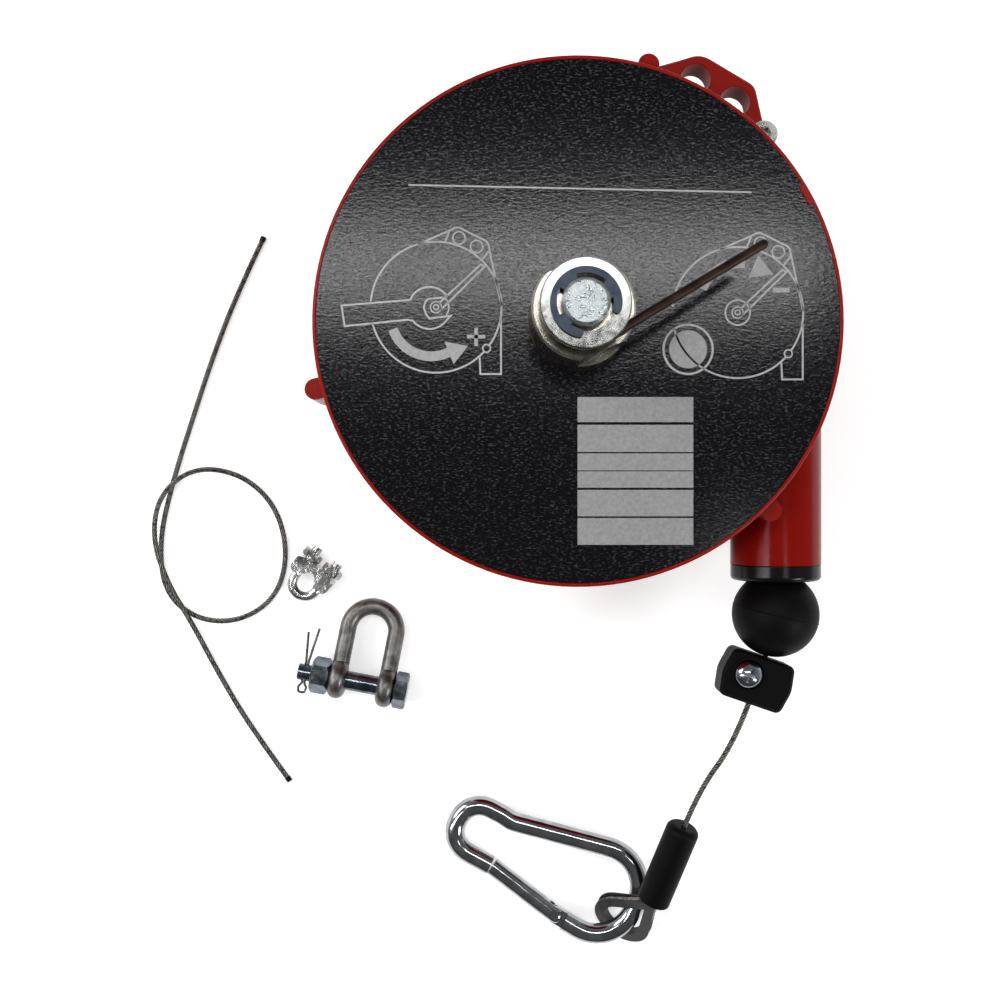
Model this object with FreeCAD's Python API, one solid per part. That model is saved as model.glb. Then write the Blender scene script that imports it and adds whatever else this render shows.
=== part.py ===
import FreeCAD, Part
import math
import os

# Spring tool balancer, lying on its back as when it is unpacked.
# Origin: drum axis on the back rest plane. +Z comes out of the printed front, +Y points to the
# suspension lug, and the load cable leaves along -Y. All sizes are millimetres.

V = FreeCAD.Vector
UP = V(0, 0, 1)

# Clearances
running_gap = 0.05
easy_gap = 0.3
hole_gap = 0.25

# Casing: a cast dish with a turned joint face, sized round the drum
drum_rim_gap = 3.0
case_draft = 2.0
case_wall = 4.5
case_floor_z = 3.0
case_floor = 4.0
case_joint_z = 60.0
case_back_round = 7.0
cavity_round = 4.0
boss_radius = 22.0
boss_neck_radius = 15.0
boss_height = 10.0
foot_ring_inset = 20.5
foot_ring_width = 6.0
rib_count = 6
rib_thickness = 4.0
rib_height = 2.2

# Front cover and its name plate, left blank
cover_overhang = 1.0
cover_face_z = 73.2
cover_plate = 4.0
cover_wall = 6.0
cover_boss_wall = 4.0
cover_boss_depth = 6.0
cover_edge_round = 1.2
rim_width = 1.2
rim_height = 1.0
lip_depth = 3.0
lip_width = 2.5
plate_thickness = 0.8
key_angle = 29.0
key_width = 6.5
key_depth = 1.3
ear_angles = (74.5, 194.0, 316.2)
ear_offset = 3.5
ear_radius = 3.5
cover_ear_height = 8.0
case_ear_depth = 14.0
cover_screw_diameter = 4.0
cover_screw_head = 6.8
cover_screw_bite = 6.0
cover_screw_socket = 3.0

# Suspension lug with two bores for light and heavy tools
lug_z = 34.0
lug_thickness = 12.0
lug_bore = 10.5
lug_bore_angles = (64.17, 54.98)
lug_bore_reach = (13.05, 13.22)
# Each corner of the lug: its angle, its reach beyond the casing's radius and its rounding
lug_corners = (
    (65.34, 21.9, 8.0),
    (53.68, 21.8, 5.0),
    (46.88, 12.5, 3.0),
    (46.88, -12.5, 0),
    (74.93, -12.5, 0),
    (74.93, 9.7, 3.0),
    (68.46, 17.1, 12.0),
)
lug_edge = 0.6
lug_bore_edge = 0.3
side_screw_angle = 45.72
side_screw_reach = 6.16
side_screw_diameter = 5.0
side_screw_head = 8.9
side_screw_head_height = 5.0
side_screw_length = 12.0
side_screw_socket = 4.0
side_boss_radius = 4.4
side_boss_top = 54.5
side_boss_depth = 18.5

# Axle, drum and power spring
axle_diameter = 14.2
axle_top = 112.0
axle_chamfer = 1.0
axle_seat = 7.5
axle_collar_radius = 11.0
axle_collar = 2.0
drum_pitch_radius = 71.4
cable_diameter = 2.0
cable_knee_radius = 8.0
drum_floor = 3.0
drum_rim = 4.4
drum_rim_height = 46.0
drum_flange_depth = 5.6
drum_flange = 2.0
drum_hub_radius = 14.0
drum_hub_height = 9.0
winding_width = 15.0
bush_wall = 2.4
bush_flange = 1.0
lid_thickness = 3.0
lid_step = 1.8
ring_thickness = 1.2
ring_depth = 0.9
ring_gap_angle = 24.0
lid_bush_wall = 2.6
spring_strip = 0.9
spring_height = 32.0
spring_turns = 8
spring_margin = 0.3
spring_floor_gap = 0.3

# Tension hub, the arbor that a spanner turns
hub_radius = 15.75
hub_top = 100.0
hub_flats = 28.0
hub_flat_angle = -66.0
hub_ledge = 84.0
neck_radius = 10.0
neck_height = 6.5
hub_bush_wall = 2.2
hub_bush_flange = 2.0
hub_hook_width = 3.0
hub_hook_depth = 1.6

# Wrap spring that locks the hub, with its release lever
wrap_wire = 2.8
wrap_turns = 1.25
wrap_pitch = 2.85
wrap_gap = 0.1
lever_angle = 31.0
lever_length = 55.5
lever_travel = 20.0
tang_length = 1.2

# Washer and retaining ring on the axle end
washer_radius = 13.5
washer_hole = 17.0
washer_thickness = 2.5
axle_pin_angle = 130.0
axle_pin_diameter = 1.6
axle_pin_reach = 1.2
axle_pin_depth = 4.0
washer_fork = 5.0
clip_radius = 10.5
clip_groove_radius = 6.0
clip_relief_radius = 8.6
clip_thickness = 1.2
clip_mouth_angle = -57.6
clip_mouth_width = 90.0
clip_reliefs = ((47.0, 110.0), (151.0, 206.0))
clip_pad_angle = 22.0
clip_pad_depth = 0.6

# Cable nose, stop ball and clamp
nose_z = 40.0
nose_radius = 15.6
nose_setback = 4.6
nose_start = 6.0
nose_blend = 22.0
nose_bore = 12.5
nose_passage = 3.4
bush_length = 5.6
bush_spigot = 13.0
bush_round = 1.6
guide_hole = 3.4
ball_radius = 15.0
ball_nest = 3.1
ball_tilt = 13.0
clamp_turn = -19.0
clamp_width = 22.0
clamp_height = 17.1
clamp_thickness = 12.0
clamp_bulge = 1.6
clamp_round = 2.4
clamp_from_ball = (-7.5, -22.65)
clamp_cable_offset = 1.2
clamp_screw_offset = (-3.5, 1.1)
clamp_screw_diameter = 4.0
clamp_screw_head = 10.2
clamp_head_height = 3.0
clamp_boss = 0.3
clamp_nut_flats = 7.0
clamp_nut_thickness = 3.2

# Cable end: ferrule in a sleeve, thimble and snap hook
sleeve_diameter = 12.0
sleeve_from_clamp = (-22.7, -54.6, -10.5)
sleeve_run = (-10.2, -29.4, -8.0)
sleeve_wall = 2.6
sleeve_round = 2.4
ferrule_start = 5.5
ferrule_recess = 2.2
thimble_from_sleeve = (-9.7, -10.6)
thimble_heading = 47.0
thimble_pitch = 45.0
thimble_radius = 11.0
thimble_eye = 7.0
thimble_tip = 21.0
thimble_eye_tip = 15.0
thimble_thickness = 3.4
thimble_groove = 2.3
thimble_web = 1.2
hook_from_thimble = (-54.2, 30.75)
hook_z = 4.5
hook_heading = -27.5
hook_lift = 4.4
hook_rod = 7.4
hook_nose = (9.4, -9.0)
hook_small_width = 9.3
hook_small_top = 9.8
hook_small_round = 8.9
hook_jog = (4.6, 9.9)
hook_jog_round = 4.5
hook_spine_slope = 13.7
hook_spine_start = (9.2, 9.6)
hook_big_end = 64.3
hook_big_bottom = -14.6
hook_big_round = 15.0
hook_pivot = (39.6, -13.6)
gate_rod = 6.6
gate_nose_gap = 0.6
gate_tongue = 3.0
gate_pin_diameter = 2.5

# Loose suspension set: shackle, cable clip and safety cable
shackle_at = (-77.3, -126.7, 7.5)
shackle_heading = -10.6
shackle_tilt = -8.2
shackle_rod = 6.35
shackle_jaw = 12.0
shackle_inside = 22.4
shackle_eye = 14.8
shackle_eye_round = 2.9
shackle_pin = 7.2
shackle_head_flats = 12.0
shackle_head = 5.0
shackle_nut = 6.8
shackle_tail = 5.0
shackle_tail_diameter = 6.2
split_wire = 0.9
split_leg = 13.0
split_spread = 7.0
split_eye = 1.5
clip_at = (-99.2, -89.4, 4.65)
clip_heading = -40.0
clip_rod = 3.7
clip_span = 9.7
clip_leg = 14.0
clip_saddle_width = 9.2
clip_saddle_height = 5.2
clip_saddle_at = 3.4
clip_lobe_inner = 3.1
clip_lobe_reach = 2.0
clip_nut_flats = 7.0
clip_nut_thickness = 3.2
floor_gap = 0.05

# Route of the 2 mm safety cable, chosen by hand from its top end to its lower end.
# It closes into one loop and lies over itself in a long low hump.
rest_z = cable_diameter / 2 + floor_gap
hump_z = 4.3
safety_route = [
    V(-115.6, 43.4, rest_z),
    V(-126.0, 21.5, rest_z),
    V(-135.4, -3.0, rest_z),
    V(-143.5, -28.0, rest_z),
    V(-150.6, -50.5, rest_z),
    V(-155.9, -73.5, rest_z),
    V(-153.6, -93.5, rest_z),
    V(-140.6, -103.8, rest_z),
    V(-124.2, -104.0, rest_z),
    V(-110.6, -94.6, rest_z),
    V(-106.3, -78.0, rest_z),
    V(-110.9, -59.6, rest_z),
    V(-124.3, -47.4, rest_z),
    V(-141.6, -44.8, hump_z),
    V(-154.9, -55.3, hump_z),
    V(-157.6, -72.0, hump_z),
    V(-151.6, -89.5, hump_z),
    V(-143.0, -104.5, rest_z + 0.9),
    V(-133.4, -123.2, rest_z),
    V(-120.9, -144.4, rest_z),
    V(-105.6, -165.3, rest_z),
]

# Free load cable: how far it runs straight out of the clamp block and into the sleeve
load_run_out = 16.0
load_run_in = 16.0

# Values that follow from the sizes above
axle_radius = axle_diameter / 2
cover_top_z = cover_face_z + rim_height
drum_flange_radius = drum_pitch_radius + drum_flange_depth
cavity_radius = drum_flange_radius + drum_rim_gap
case_radius = cavity_radius + case_wall
cover_radius = case_radius + cover_overhang
foot_ring_radius = case_radius - foot_ring_inset
nose_end = case_radius - nose_setback
cover_hole = hub_radius + running_gap + hub_bush_wall
collar_top = boss_height + axle_collar
drum_base = collar_top + easy_gap
drum_outer = drum_pitch_radius - cable_diameter / 2
drum_inner = drum_outer - drum_rim
bush_bore = axle_radius + running_gap
bush_outer = bush_bore + bush_wall
drum_top = drum_base + bush_flange + drum_rim_height
lid_top = drum_top - ring_thickness - 1.0
lid_base = lid_top - lid_thickness
hub_base = drum_base + bush_flange + drum_hub_height + easy_gap
neck_top = hub_top + neck_height
washer_base = neck_top + easy_gap
clip_base = washer_base + washer_thickness + 0.1
wrap_radius = neck_radius + wrap_gap + wrap_wire / 2
lever_z = hub_top + 0.2 + wrap_wire / 2
ear_circle = case_radius + ear_offset
ball_centre_y = -(nose_end + bush_length + ball_radius - ball_nest)
nose_x = drum_pitch_radius
clamp_centre = V(nose_x + clamp_from_ball[0], ball_centre_y + clamp_from_ball[1], nose_z)
sleeve_top = clamp_centre + V(*sleeve_from_clamp)
sleeve_bottom = sleeve_top + V(*sleeve_run)
thimble_x = sleeve_bottom.x + thimble_from_sleeve[0]
thimble_y = sleeve_bottom.y + thimble_from_sleeve[1]
hook_origin = V(thimble_x + hook_from_thimble[0], thimble_y + hook_from_thimble[1], hook_z)


def polar(radius, degrees, z=0.0):
    """Point at a radius and an angle about the drum axis."""
    turn = math.radians(degrees)
    return V(radius * math.cos(turn), radius * math.sin(turn), z)


def heading(degrees, rise=0.0):
    """Unit direction in plan, lifted by an angle of rise."""
    lift = math.radians(rise)
    flat = polar(math.cos(lift), degrees)
    return V(flat.x, flat.y, math.sin(lift))


def disc(radius, z0, z1, centre=V(0, 0, 0)):
    """Upright cylinder between two heights."""
    return Part.makeCylinder(radius, z1 - z0, V(centre.x, centre.y, z0), UP)


def ring(outer, inner, z0, z1):
    """Upright ring between two heights."""
    return disc(outer, z0, z1).cut(disc(inner, z0 - 1, z1 + 1))


def rod(start, end, radius):
    """Round bar between two points."""
    run = end - start
    return Part.makeCylinder(radius, run.Length, start, run)


def placed(shape, origin, x_axis, y_axis):
    """Moves a piece from its own frame to where it belongs."""
    x_axis = V(x_axis).normalize()
    z_axis = x_axis.cross(y_axis).normalize()
    y_axis = z_axis.cross(x_axis)
    turn = FreeCAD.Rotation(x_axis, y_axis, z_axis, "ZXY")
    result = shape.copy()
    result.Placement = FreeCAD.Placement(origin, turn).multiply(shape.Placement)
    return result


def rounded_edges(points, radii, closed=True):
    """Lines joined by tangent arcs. A radius of None takes the largest arc that the runs allow."""
    count = len(points)
    edges = []
    cursor = None
    first = None
    corners = range(count) if closed else range(1, count - 1)
    if not closed:
        cursor = points[0]
    for index in corners:
        corner = points[index]
        before = points[index - 1] - corner
        after = points[(index + 1) % count] - corner
        shorter = min(before.Length, after.Length)
        before = before.normalize()
        after = after.normalize()
        half_turn = (math.pi - before.getAngle(after)) / 2
        radius = radii[index]
        if radius is None:
            radius = 0.45 * shorter / math.tan(half_turn)
        if radius == 0:
            arc_start = corner
            arc_end = corner
        else:
            reach = radius * math.tan(half_turn)
            arc_start = corner + before * reach
            arc_end = corner + after * reach
        if cursor is not None and (arc_start - cursor).Length > 1e-6:
            edges.append(Part.LineSegment(cursor, arc_start).toShape())
        if radius != 0:
            middle_direction = (before + after).normalize()
            distance = radius / math.cos(half_turn) - radius
            middle = corner + middle_direction * distance
            edges.append(Part.Arc(arc_start, middle, arc_end).toShape())
        if first is None:
            first = arc_start
        cursor = arc_end
    last = first if closed else points[-1]
    if (last - cursor).Length > 1e-6:
        edges.append(Part.LineSegment(cursor, last).toShape())
    return edges


def rounded_face(points, radii):
    """Flat face with rounded corners."""
    return Part.Face(Part.Wire(rounded_edges(points, radii)))


def turned(outline, radii):
    """Body of revolution about the drum axis from (radius, height) pairs."""
    face = rounded_face([V(r, 0, z) for r, z in outline], radii)
    return face.revolve(V(0, 0, 0), UP, 360)


def cable(points, diameter, name, radius=None):
    """Round cable along straight runs joined by tangent arcs, the largest ones if no radius is given."""
    edges = rounded_edges(points, [radius] * len(points), closed=False)
    path = Part.Wire(edges)
    start = points[0]
    section = Part.Wire(Part.Circle(start, points[1] - start, diameter / 2).toShape())
    tube = Part.Solid(path.makePipeShell([section], True, False))
    if tube.Volume < 0:
        tube.reverse()
    expected = path.Length * math.pi * diameter ** 2 / 4
    radii = [round(e.Curve.Radius, 1) for e in edges if hasattr(e.Curve, "Radius")]
    print(name, "length", round(path.Length, 1), "volume ratio", round(tube.Volume / expected, 4))
    print(name, "radii", radii)
    return tube


def hexagon(across_flats, height, chamfer=0.6):
    """Hexagon prism along +Z with turned corners at both ends."""
    corner = across_flats / math.sqrt(3)
    points = [polar(corner, 60 * k) for k in range(6)]
    prism = Part.Face(Part.makePolygon(points + points[:1])).extrude(V(0, 0, height))
    cone = turned([
        (0, 0),
        (across_flats / 2, 0),
        (corner + 0.05, chamfer),
        (corner + 0.05, height - chamfer),
        (across_flats / 2, height),
        (0, height),
    ], [0] * 6)
    return prism.common(cone)


def cap_screw(diameter, head, head_height, shank, socket):
    """Socket cap screw, head up, with the underside of its head at height 0."""
    body = disc(head / 2, 0, head_height).fuse(disc(diameter / 2, -shank, 0.2))
    body = body.cut(hexagon(socket, head_height, 0.1).translated(V(0, 0, head_height * 0.45)))
    rim = [e for e in body.Edges if hasattr(e.Curve, "Radius")
           and abs(e.Curve.Radius - head / 2) < 1e-6 and e.CenterOfMass.z > head_height / 2]
    return body.makeChamfer(0.5, rim).removeSplitter()


def casing_shell():
    """Outer dish of the casing, still solid."""
    back = case_radius - case_draft
    return turned([
        (0, case_floor_z),
        (back, case_floor_z),
        (case_radius, case_joint_z),
        (0, case_joint_z),
    ], [0, case_back_round, 0, 0])


def casing_cavity():
    """Space for the drum, with the same draft as the outside."""
    floor = case_floor_z + case_floor
    back = cavity_radius - case_draft
    return turned([
        (0, floor),
        (back, floor),
        (cavity_radius, case_joint_z + 1),
        (0, case_joint_z + 1),
    ], [0, cavity_round, 0, 0])


def ear(angle, z0, z1):
    """Screw ear that grows out of the wall."""
    centre = polar(ear_circle, angle)
    post = disc(ear_radius, z0, z1, centre)
    web = Part.makeBox(ear_offset + 3, 2 * ear_radius, z1 - z0, V(-ear_offset - 3, -ear_radius, 0))
    return post.fuse(placed(web, V(centre.x, centre.y, z0), polar(1, angle), polar(1, angle + 90)))


def lug_bore_centres():
    """Axes of the two suspension bores at the lug's back face."""
    return [polar(case_radius + out, angle, lug_z) for out, angle in zip(lug_bore_reach, lug_bore_angles)]


def side_screw_axis(z=0.0):
    """Axis of the screw beside the lug."""
    return polar(case_radius + side_screw_reach, side_screw_angle, z)


def lug_body():
    """Flat lug that carries both bores, with its edges broken."""
    outline = [polar(case_radius + out, angle, lug_z) for angle, out, rounding in lug_corners]
    radii = [rounding for angle, out, rounding in lug_corners]
    body = rounded_face(outline, radii).extrude(V(0, 0, lug_thickness))
    rims = [e for e in body.Edges if abs(e.CenterOfMass.z - lug_z - lug_thickness / 2) > 1]
    return body.makeChamfer(lug_edge, rims)


def lug_bores():
    """Both suspension bores with broken edges."""
    cuts = []
    for centre in lug_bore_centres():
        z1 = lug_z + lug_thickness
        radius = lug_bore / 2
        cuts.append(disc(radius, lug_z - 1, z1 + 1, centre))
        for z, sign in ((lug_z, 1), (z1, -1)):
            wide = radius + lug_bore_edge + 0.5
            apex = V(centre.x, centre.y, z - sign * 0.5)
            cone = Part.makeCone(wide, radius, lug_bore_edge + 0.5, apex, V(0, 0, sign))
            cuts.append(cone)
    return cuts


def back_ribs():
    """Ribs on the back between the centre boss and the foot ring."""
    ribs = []
    for k in range(rib_count):
        length = foot_ring_radius - boss_radius
        bar = Part.makeBox(length, rib_thickness, rib_height, V(boss_radius - 0.5, -rib_thickness / 2, 0))
        bar = placed(bar, V(0, 0, case_floor_z - rib_height), polar(1, 60 * k + 30), polar(1, 60 * k + 120))
        ribs.append(bar)
    return ribs


def housing():
    """Rear casing: dish, lug, screw ears, cable nose, back boss and feet."""
    nose = Part.makeCylinder(nose_radius, nose_end - nose_start, V(nose_x, -nose_start, nose_z), V(0, -1, 0))
    blend = Part.makeCone(nose_radius, nose_radius * 0.3, nose_blend, V(nose_x, -nose_start, nose_z), V(-0.04, 1, 0))
    side_boss = disc(side_boss_radius, side_boss_top - side_boss_depth, side_boss_top, side_screw_axis())
    body = casing_shell().fuse([nose, blend, lug_body(), side_boss])
    body = body.fuse([ear(a, case_joint_z - case_ear_depth, case_joint_z) for a in ear_angles])
    body = body.fuse(back_ribs())
    body = body.fuse([disc(boss_radius, 0, case_floor_z + 1)])
    foot_outer = foot_ring_radius + foot_ring_width
    body = body.fuse(ring(foot_outer, foot_ring_radius, 0, case_floor_z + 1))
    body = body.cut(casing_cavity())
    body = body.cut(disc(cavity_radius, case_joint_z - lip_depth - easy_gap, case_joint_z + 1))
    body = body.fuse(disc(boss_neck_radius, case_floor_z, boss_height))
    bush_seat = nose_end - bush_spigot - easy_gap
    mouth = rod(V(nose_x, -bush_seat, nose_z), V(nose_x, -nose_end - 1, nose_z), nose_bore)
    passage = rod(V(nose_x, -nose_end / 3, nose_z), V(nose_x, -nose_end, nose_z), nose_passage)
    body = body.cut([mouth, passage])
    body = body.cut(lug_bores())
    body = body.cut(disc(axle_radius, boss_height - axle_seat, boss_height + 1))
    for angle in ear_angles:
        centre = polar(ear_circle, angle)
        hole = disc(cover_screw_diameter / 2 + hole_gap, 0, case_joint_z + 1, centre)
        head = disc(cover_screw_head / 2 + hole_gap, 0, case_joint_z - case_ear_depth, centre)
        body = body.cut([hole, head])
    thread = disc(side_screw_diameter / 2, side_boss_top - side_screw_length - 2, side_boss_top + 1,
                  side_screw_axis())
    return body.cut(thread).removeSplitter()


def front_cover():
    """Front cover: plate, wall, lip into the casing, rim round the name plate, ears and key."""
    plate_base = cover_face_z - cover_plate
    inner = cover_radius - cover_wall
    body = turned([
        (0, case_joint_z),
        (cover_radius, case_joint_z),
        (cover_radius, cover_top_z),
        (cover_radius - rim_width, cover_top_z),
        (cover_radius - rim_width, cover_face_z),
        (0, cover_face_z),
    ], [0, 0, cover_edge_round * 0.5, 0.3, 0, 0])
    ears = [ear(a, case_joint_z, case_joint_z + cover_ear_height) for a in ear_angles]
    body = body.fuse(ears)
    hollow = turned([
        (0, case_joint_z - 1),
        (inner, case_joint_z - 1),
        (inner, plate_base),
        (0, plate_base),
    ], [0, 0, cavity_round, 0])
    body = body.cut(hollow)
    lip_outer = cavity_radius - running_gap * 2
    body = body.fuse(ring(lip_outer, lip_outer - lip_width, case_joint_z - lip_depth, plate_base + 0.5))
    body = body.fuse(ring(cover_hole + cover_boss_wall, cover_hole, plate_base - cover_boss_depth, cover_face_z))
    body = body.cut(disc(cover_hole, plate_base - cover_boss_depth - 1, cover_face_z + 1))
    key = Part.makeBox(key_depth + 0.5, key_width, rim_height, V(-key_depth, -key_width / 2, 0))
    corner = polar(cover_radius - rim_width, key_angle, cover_face_z)
    body = body.fuse(placed(key, corner, polar(1, key_angle), polar(1, key_angle + 90)))
    for angle in ear_angles:
        hole = disc(cover_screw_diameter / 2, case_joint_z - 1, case_joint_z + cover_screw_bite,
                    polar(ear_circle, angle))
        body = body.cut(hole)
    return body.removeSplitter()


def label_plate():
    """Thin printed plate in the recess of the cover, notched for the key."""
    plate = ring(cover_radius - rim_width - 0.1, hub_radius + easy_gap, cover_face_z,
                 cover_face_z + plate_thickness)
    notch = Part.makeBox(key_depth + 1, key_width + 0.2, 2, V(-key_depth - 0.1, -key_width / 2 - 0.1, -0.5))
    corner = polar(cover_radius - rim_width, key_angle, cover_face_z)
    return plate.cut(placed(notch, corner, polar(1, key_angle), polar(1, key_angle + 90)))


def cover_screws():
    """Cap screws through the casing ears into the cover, heads at the back."""
    head_z = case_joint_z - case_ear_depth
    shank = case_ear_depth + cover_screw_bite - 0.3
    screw = cap_screw(cover_screw_diameter, cover_screw_head, cover_screw_diameter, shank,
                      cover_screw_socket)
    screws = []
    for angle in ear_angles:
        centre = polar(ear_circle, angle, head_z)
        screws.append(placed(screw, centre, V(1, 0, 0), V(0, -1, 0)))
    return Part.makeCompound(screws)


def side_screw():
    """Zinc cap screw in the boss beside the lug."""
    screw = cap_screw(side_screw_diameter, side_screw_head, side_screw_head_height, side_screw_length,
                      side_screw_socket)
    return screw.translated(side_screw_axis(side_boss_top))


def axle():
    """Fixed axle pressed in the back boss, with collar, ring groove and a hole for the washer's pin."""
    foot = boss_height - axle_seat
    body = turned([
        (0, foot),
        (axle_radius, foot),
        (axle_radius, boss_height),
        (axle_collar_radius, boss_height),
        (axle_collar_radius, collar_top),
        (axle_radius, collar_top),
        (axle_radius, clip_base - 0.05),
        (clip_groove_radius, clip_base - 0.05),
        (clip_groove_radius, clip_base + clip_thickness + 0.05),
        (axle_radius, clip_base + clip_thickness + 0.05),
        (axle_radius, axle_top - axle_chamfer),
        (axle_radius - axle_chamfer, axle_top),
        (0, axle_top),
    ], [0] * 13)
    return body.cut(axle_pin())


def axle_pin():
    """Pin pressed across the axle's side, which keeps the washer from turning."""
    z = washer_base + washer_thickness / 2
    inner = polar(axle_radius - axle_pin_depth, axle_pin_angle, z)
    outer = polar(axle_radius + axle_pin_reach, axle_pin_angle, z)
    return rod(inner, outer, axle_pin_diameter / 2)


def thrust_washer():
    """Washer forked over the axle's pin, with a curved pocket below for the wrap spring's tang."""
    top = washer_base + washer_thickness
    body = ring(washer_radius, washer_hole / 2, washer_base, top)
    inner = axle_radius + hole_gap
    tooth = Part.makeBox(washer_hole / 2 + 0.5 - inner, washer_fork, washer_thickness,
                         V(inner, -washer_fork / 2, washer_base))
    slot_width = axle_pin_diameter + 2 * running_gap
    slot = Part.makeBox(axle_pin_reach + 0.2, slot_width, washer_thickness + 2,
                        V(axle_radius, -slot_width / 2, washer_base - 1))
    fork = tooth.cut(slot).rotated(V(0, 0, 0), UP, axle_pin_angle)
    body = body.fuse(fork).cut(disc(inner, washer_base - 1, top + 1))
    half = tang_radius() + 0.15
    pocket = ring(wrap_radius + half, wrap_radius - half, washer_base - 1, washer_base + tang_length + 0.2)
    start = tang_angle()
    pocket = pocket.common(sector(washer_radius + 1, start - lever_travel, start, washer_base - 1, top))
    ends = [disc(half, washer_base - 1, washer_base + tang_length + 0.2, polar(wrap_radius, a))
            for a in (start, start - lever_travel)]
    body = body.cut(pocket).cut(ends)
    edges = [e for e in body.Edges if hasattr(e.Curve, "Radius")
             and abs(e.Curve.Radius - washer_radius) < 1e-6 and e.CenterOfMass.z > top - 0.1]
    return body.makeChamfer(0.4, edges).removeSplitter()


def sector(radius, start, end, z0, z1):
    """Slice of a disc between two angles, less than half a turn wide."""
    middle = (start + end) / 2
    points = [V(0, 0, z0), polar(radius * 2, start, z0), polar(radius * 2, middle, z0), polar(radius * 2, end, z0)]
    face = Part.Face(Part.makePolygon(points + points[:1]))
    return face.extrude(V(0, 0, z1 - z0))


def tang_angle():
    """Where the wrap spring's fixed end stands, one and a quarter turns before the lever."""
    return lever_angle - 90.0 - 360.0 * wrap_turns


def tang_radius():
    """Radius of the thinned end that stands in the washer."""
    return wrap_wire / 2 - 0.4


def retaining_ring():
    """Open ring in the axle groove with three pads and two reliefs."""
    top = clip_base + clip_thickness
    body = ring(clip_radius, clip_groove_radius + 0.05, clip_base, top)
    for start, end in clip_reliefs:
        wedge = sector(clip_radius, start, end, clip_base - 1, top + 1)
        body = body.cut(disc(clip_relief_radius, clip_base - 1, top + 1).common(wedge))
    first = clip_mouth_angle - clip_mouth_width / 2
    body = body.cut(sector(clip_radius, first, first + clip_mouth_width, clip_base - 1, top + 1))
    inner = disc(clip_relief_radius - clip_pad_depth, clip_base - 1, top + 1)
    for start in (first - clip_pad_angle, first + clip_mouth_width):
        pad = sector(clip_radius, start, start + clip_pad_angle, clip_base - 1, top + 1)
        body = body.cut(inner.common(pad))
    tip_inner = clip_relief_radius - clip_pad_depth
    tip_radius = (clip_radius - tip_inner) / 2
    tips = [disc(tip_radius, clip_base, top, polar(tip_inner + tip_radius, angle))
            for angle in (first, first + clip_mouth_width)]
    return body.fuse(tips).removeSplitter()


def drum():
    """Cable drum: hub, web, cup for the power spring and flanges beside the winding."""
    z0 = drum_base + bush_flange
    seat_outer = drum_inner + lid_step
    low = nose_z - winding_width + cable_diameter
    high = nose_z + cable_diameter
    edge = drum_outer
    return turned([
        (bush_outer, z0),
        (edge, z0),
        (edge, low - drum_flange),
        (drum_flange_radius, low - drum_flange),
        (drum_flange_radius, low),
        (edge, low + 0.5),
        (edge, high - 0.5),
        (drum_flange_radius, high),
        (drum_flange_radius, high + drum_flange),
        (edge, high + drum_flange),
        (edge, drum_top),
        (seat_outer, drum_top),
        (seat_outer, lid_top + ring_thickness + 0.05),
        (seat_outer + ring_depth, lid_top + ring_thickness + 0.05),
        (seat_outer + ring_depth, lid_top),
        (seat_outer, lid_top),
        (seat_outer, lid_base),
        (drum_inner, lid_base),
        (drum_inner, z0 + drum_floor),
        (drum_hub_radius, z0 + drum_floor),
        (drum_hub_radius, z0 + drum_hub_height),
        (bush_outer, z0 + drum_hub_height),
    ], [0] * 22)


def drum_bush():
    """Flanged bronze bush between drum and axle."""
    z0 = drum_base
    top = z0 + bush_flange + drum_hub_height
    return ring(bush_outer, bush_bore, z0, top).fuse(ring(drum_hub_radius - 1, bush_bore, z0, z0 + bush_flange))


def drum_lid():
    """Lid that closes the spring cup."""
    inner = hub_radius + running_gap + lid_bush_wall
    outer = drum_inner + lid_step - running_gap
    plate = ring(outer, inner, lid_base, lid_top)
    swage = ring(outer * 0.72, outer * 0.42, lid_top - 1.0, lid_top + 1)
    return plate.cut(swage)


def lid_ring():
    """Inner retaining ring above the lid."""
    outer = drum_inner + lid_step + ring_depth - 0.1
    body = ring(outer, drum_inner - 1.0, lid_top, lid_top + ring_thickness)
    return body.cut(sector(outer, -ring_gap_angle / 2, ring_gap_angle / 2, lid_top - 1, lid_top + 3))


def lid_bush():
    """Flanged bush between the lid and the tension hub."""
    inner = hub_radius + running_gap
    outer = inner + lid_bush_wall
    body = ring(outer, inner, lid_base, lid_top + 1.4)
    return body.fuse(ring(outer + 2.5, inner, lid_top, lid_top + 1.4))


def hub_bush():
    """Flanged bush in the cover round the tension hub."""
    inner = hub_radius + running_gap
    base = cover_face_z - cover_plate - cover_boss_depth
    body = ring(inner + hub_bush_wall, inner, base, cover_face_z)
    return body.fuse(ring(inner + hub_bush_wall + 2.0, inner, base - hub_bush_flange, base))


def spring_cup_floor():
    """Height of the spring's lower edge."""
    return drum_base + bush_flange + drum_floor + spring_floor_gap


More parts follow.
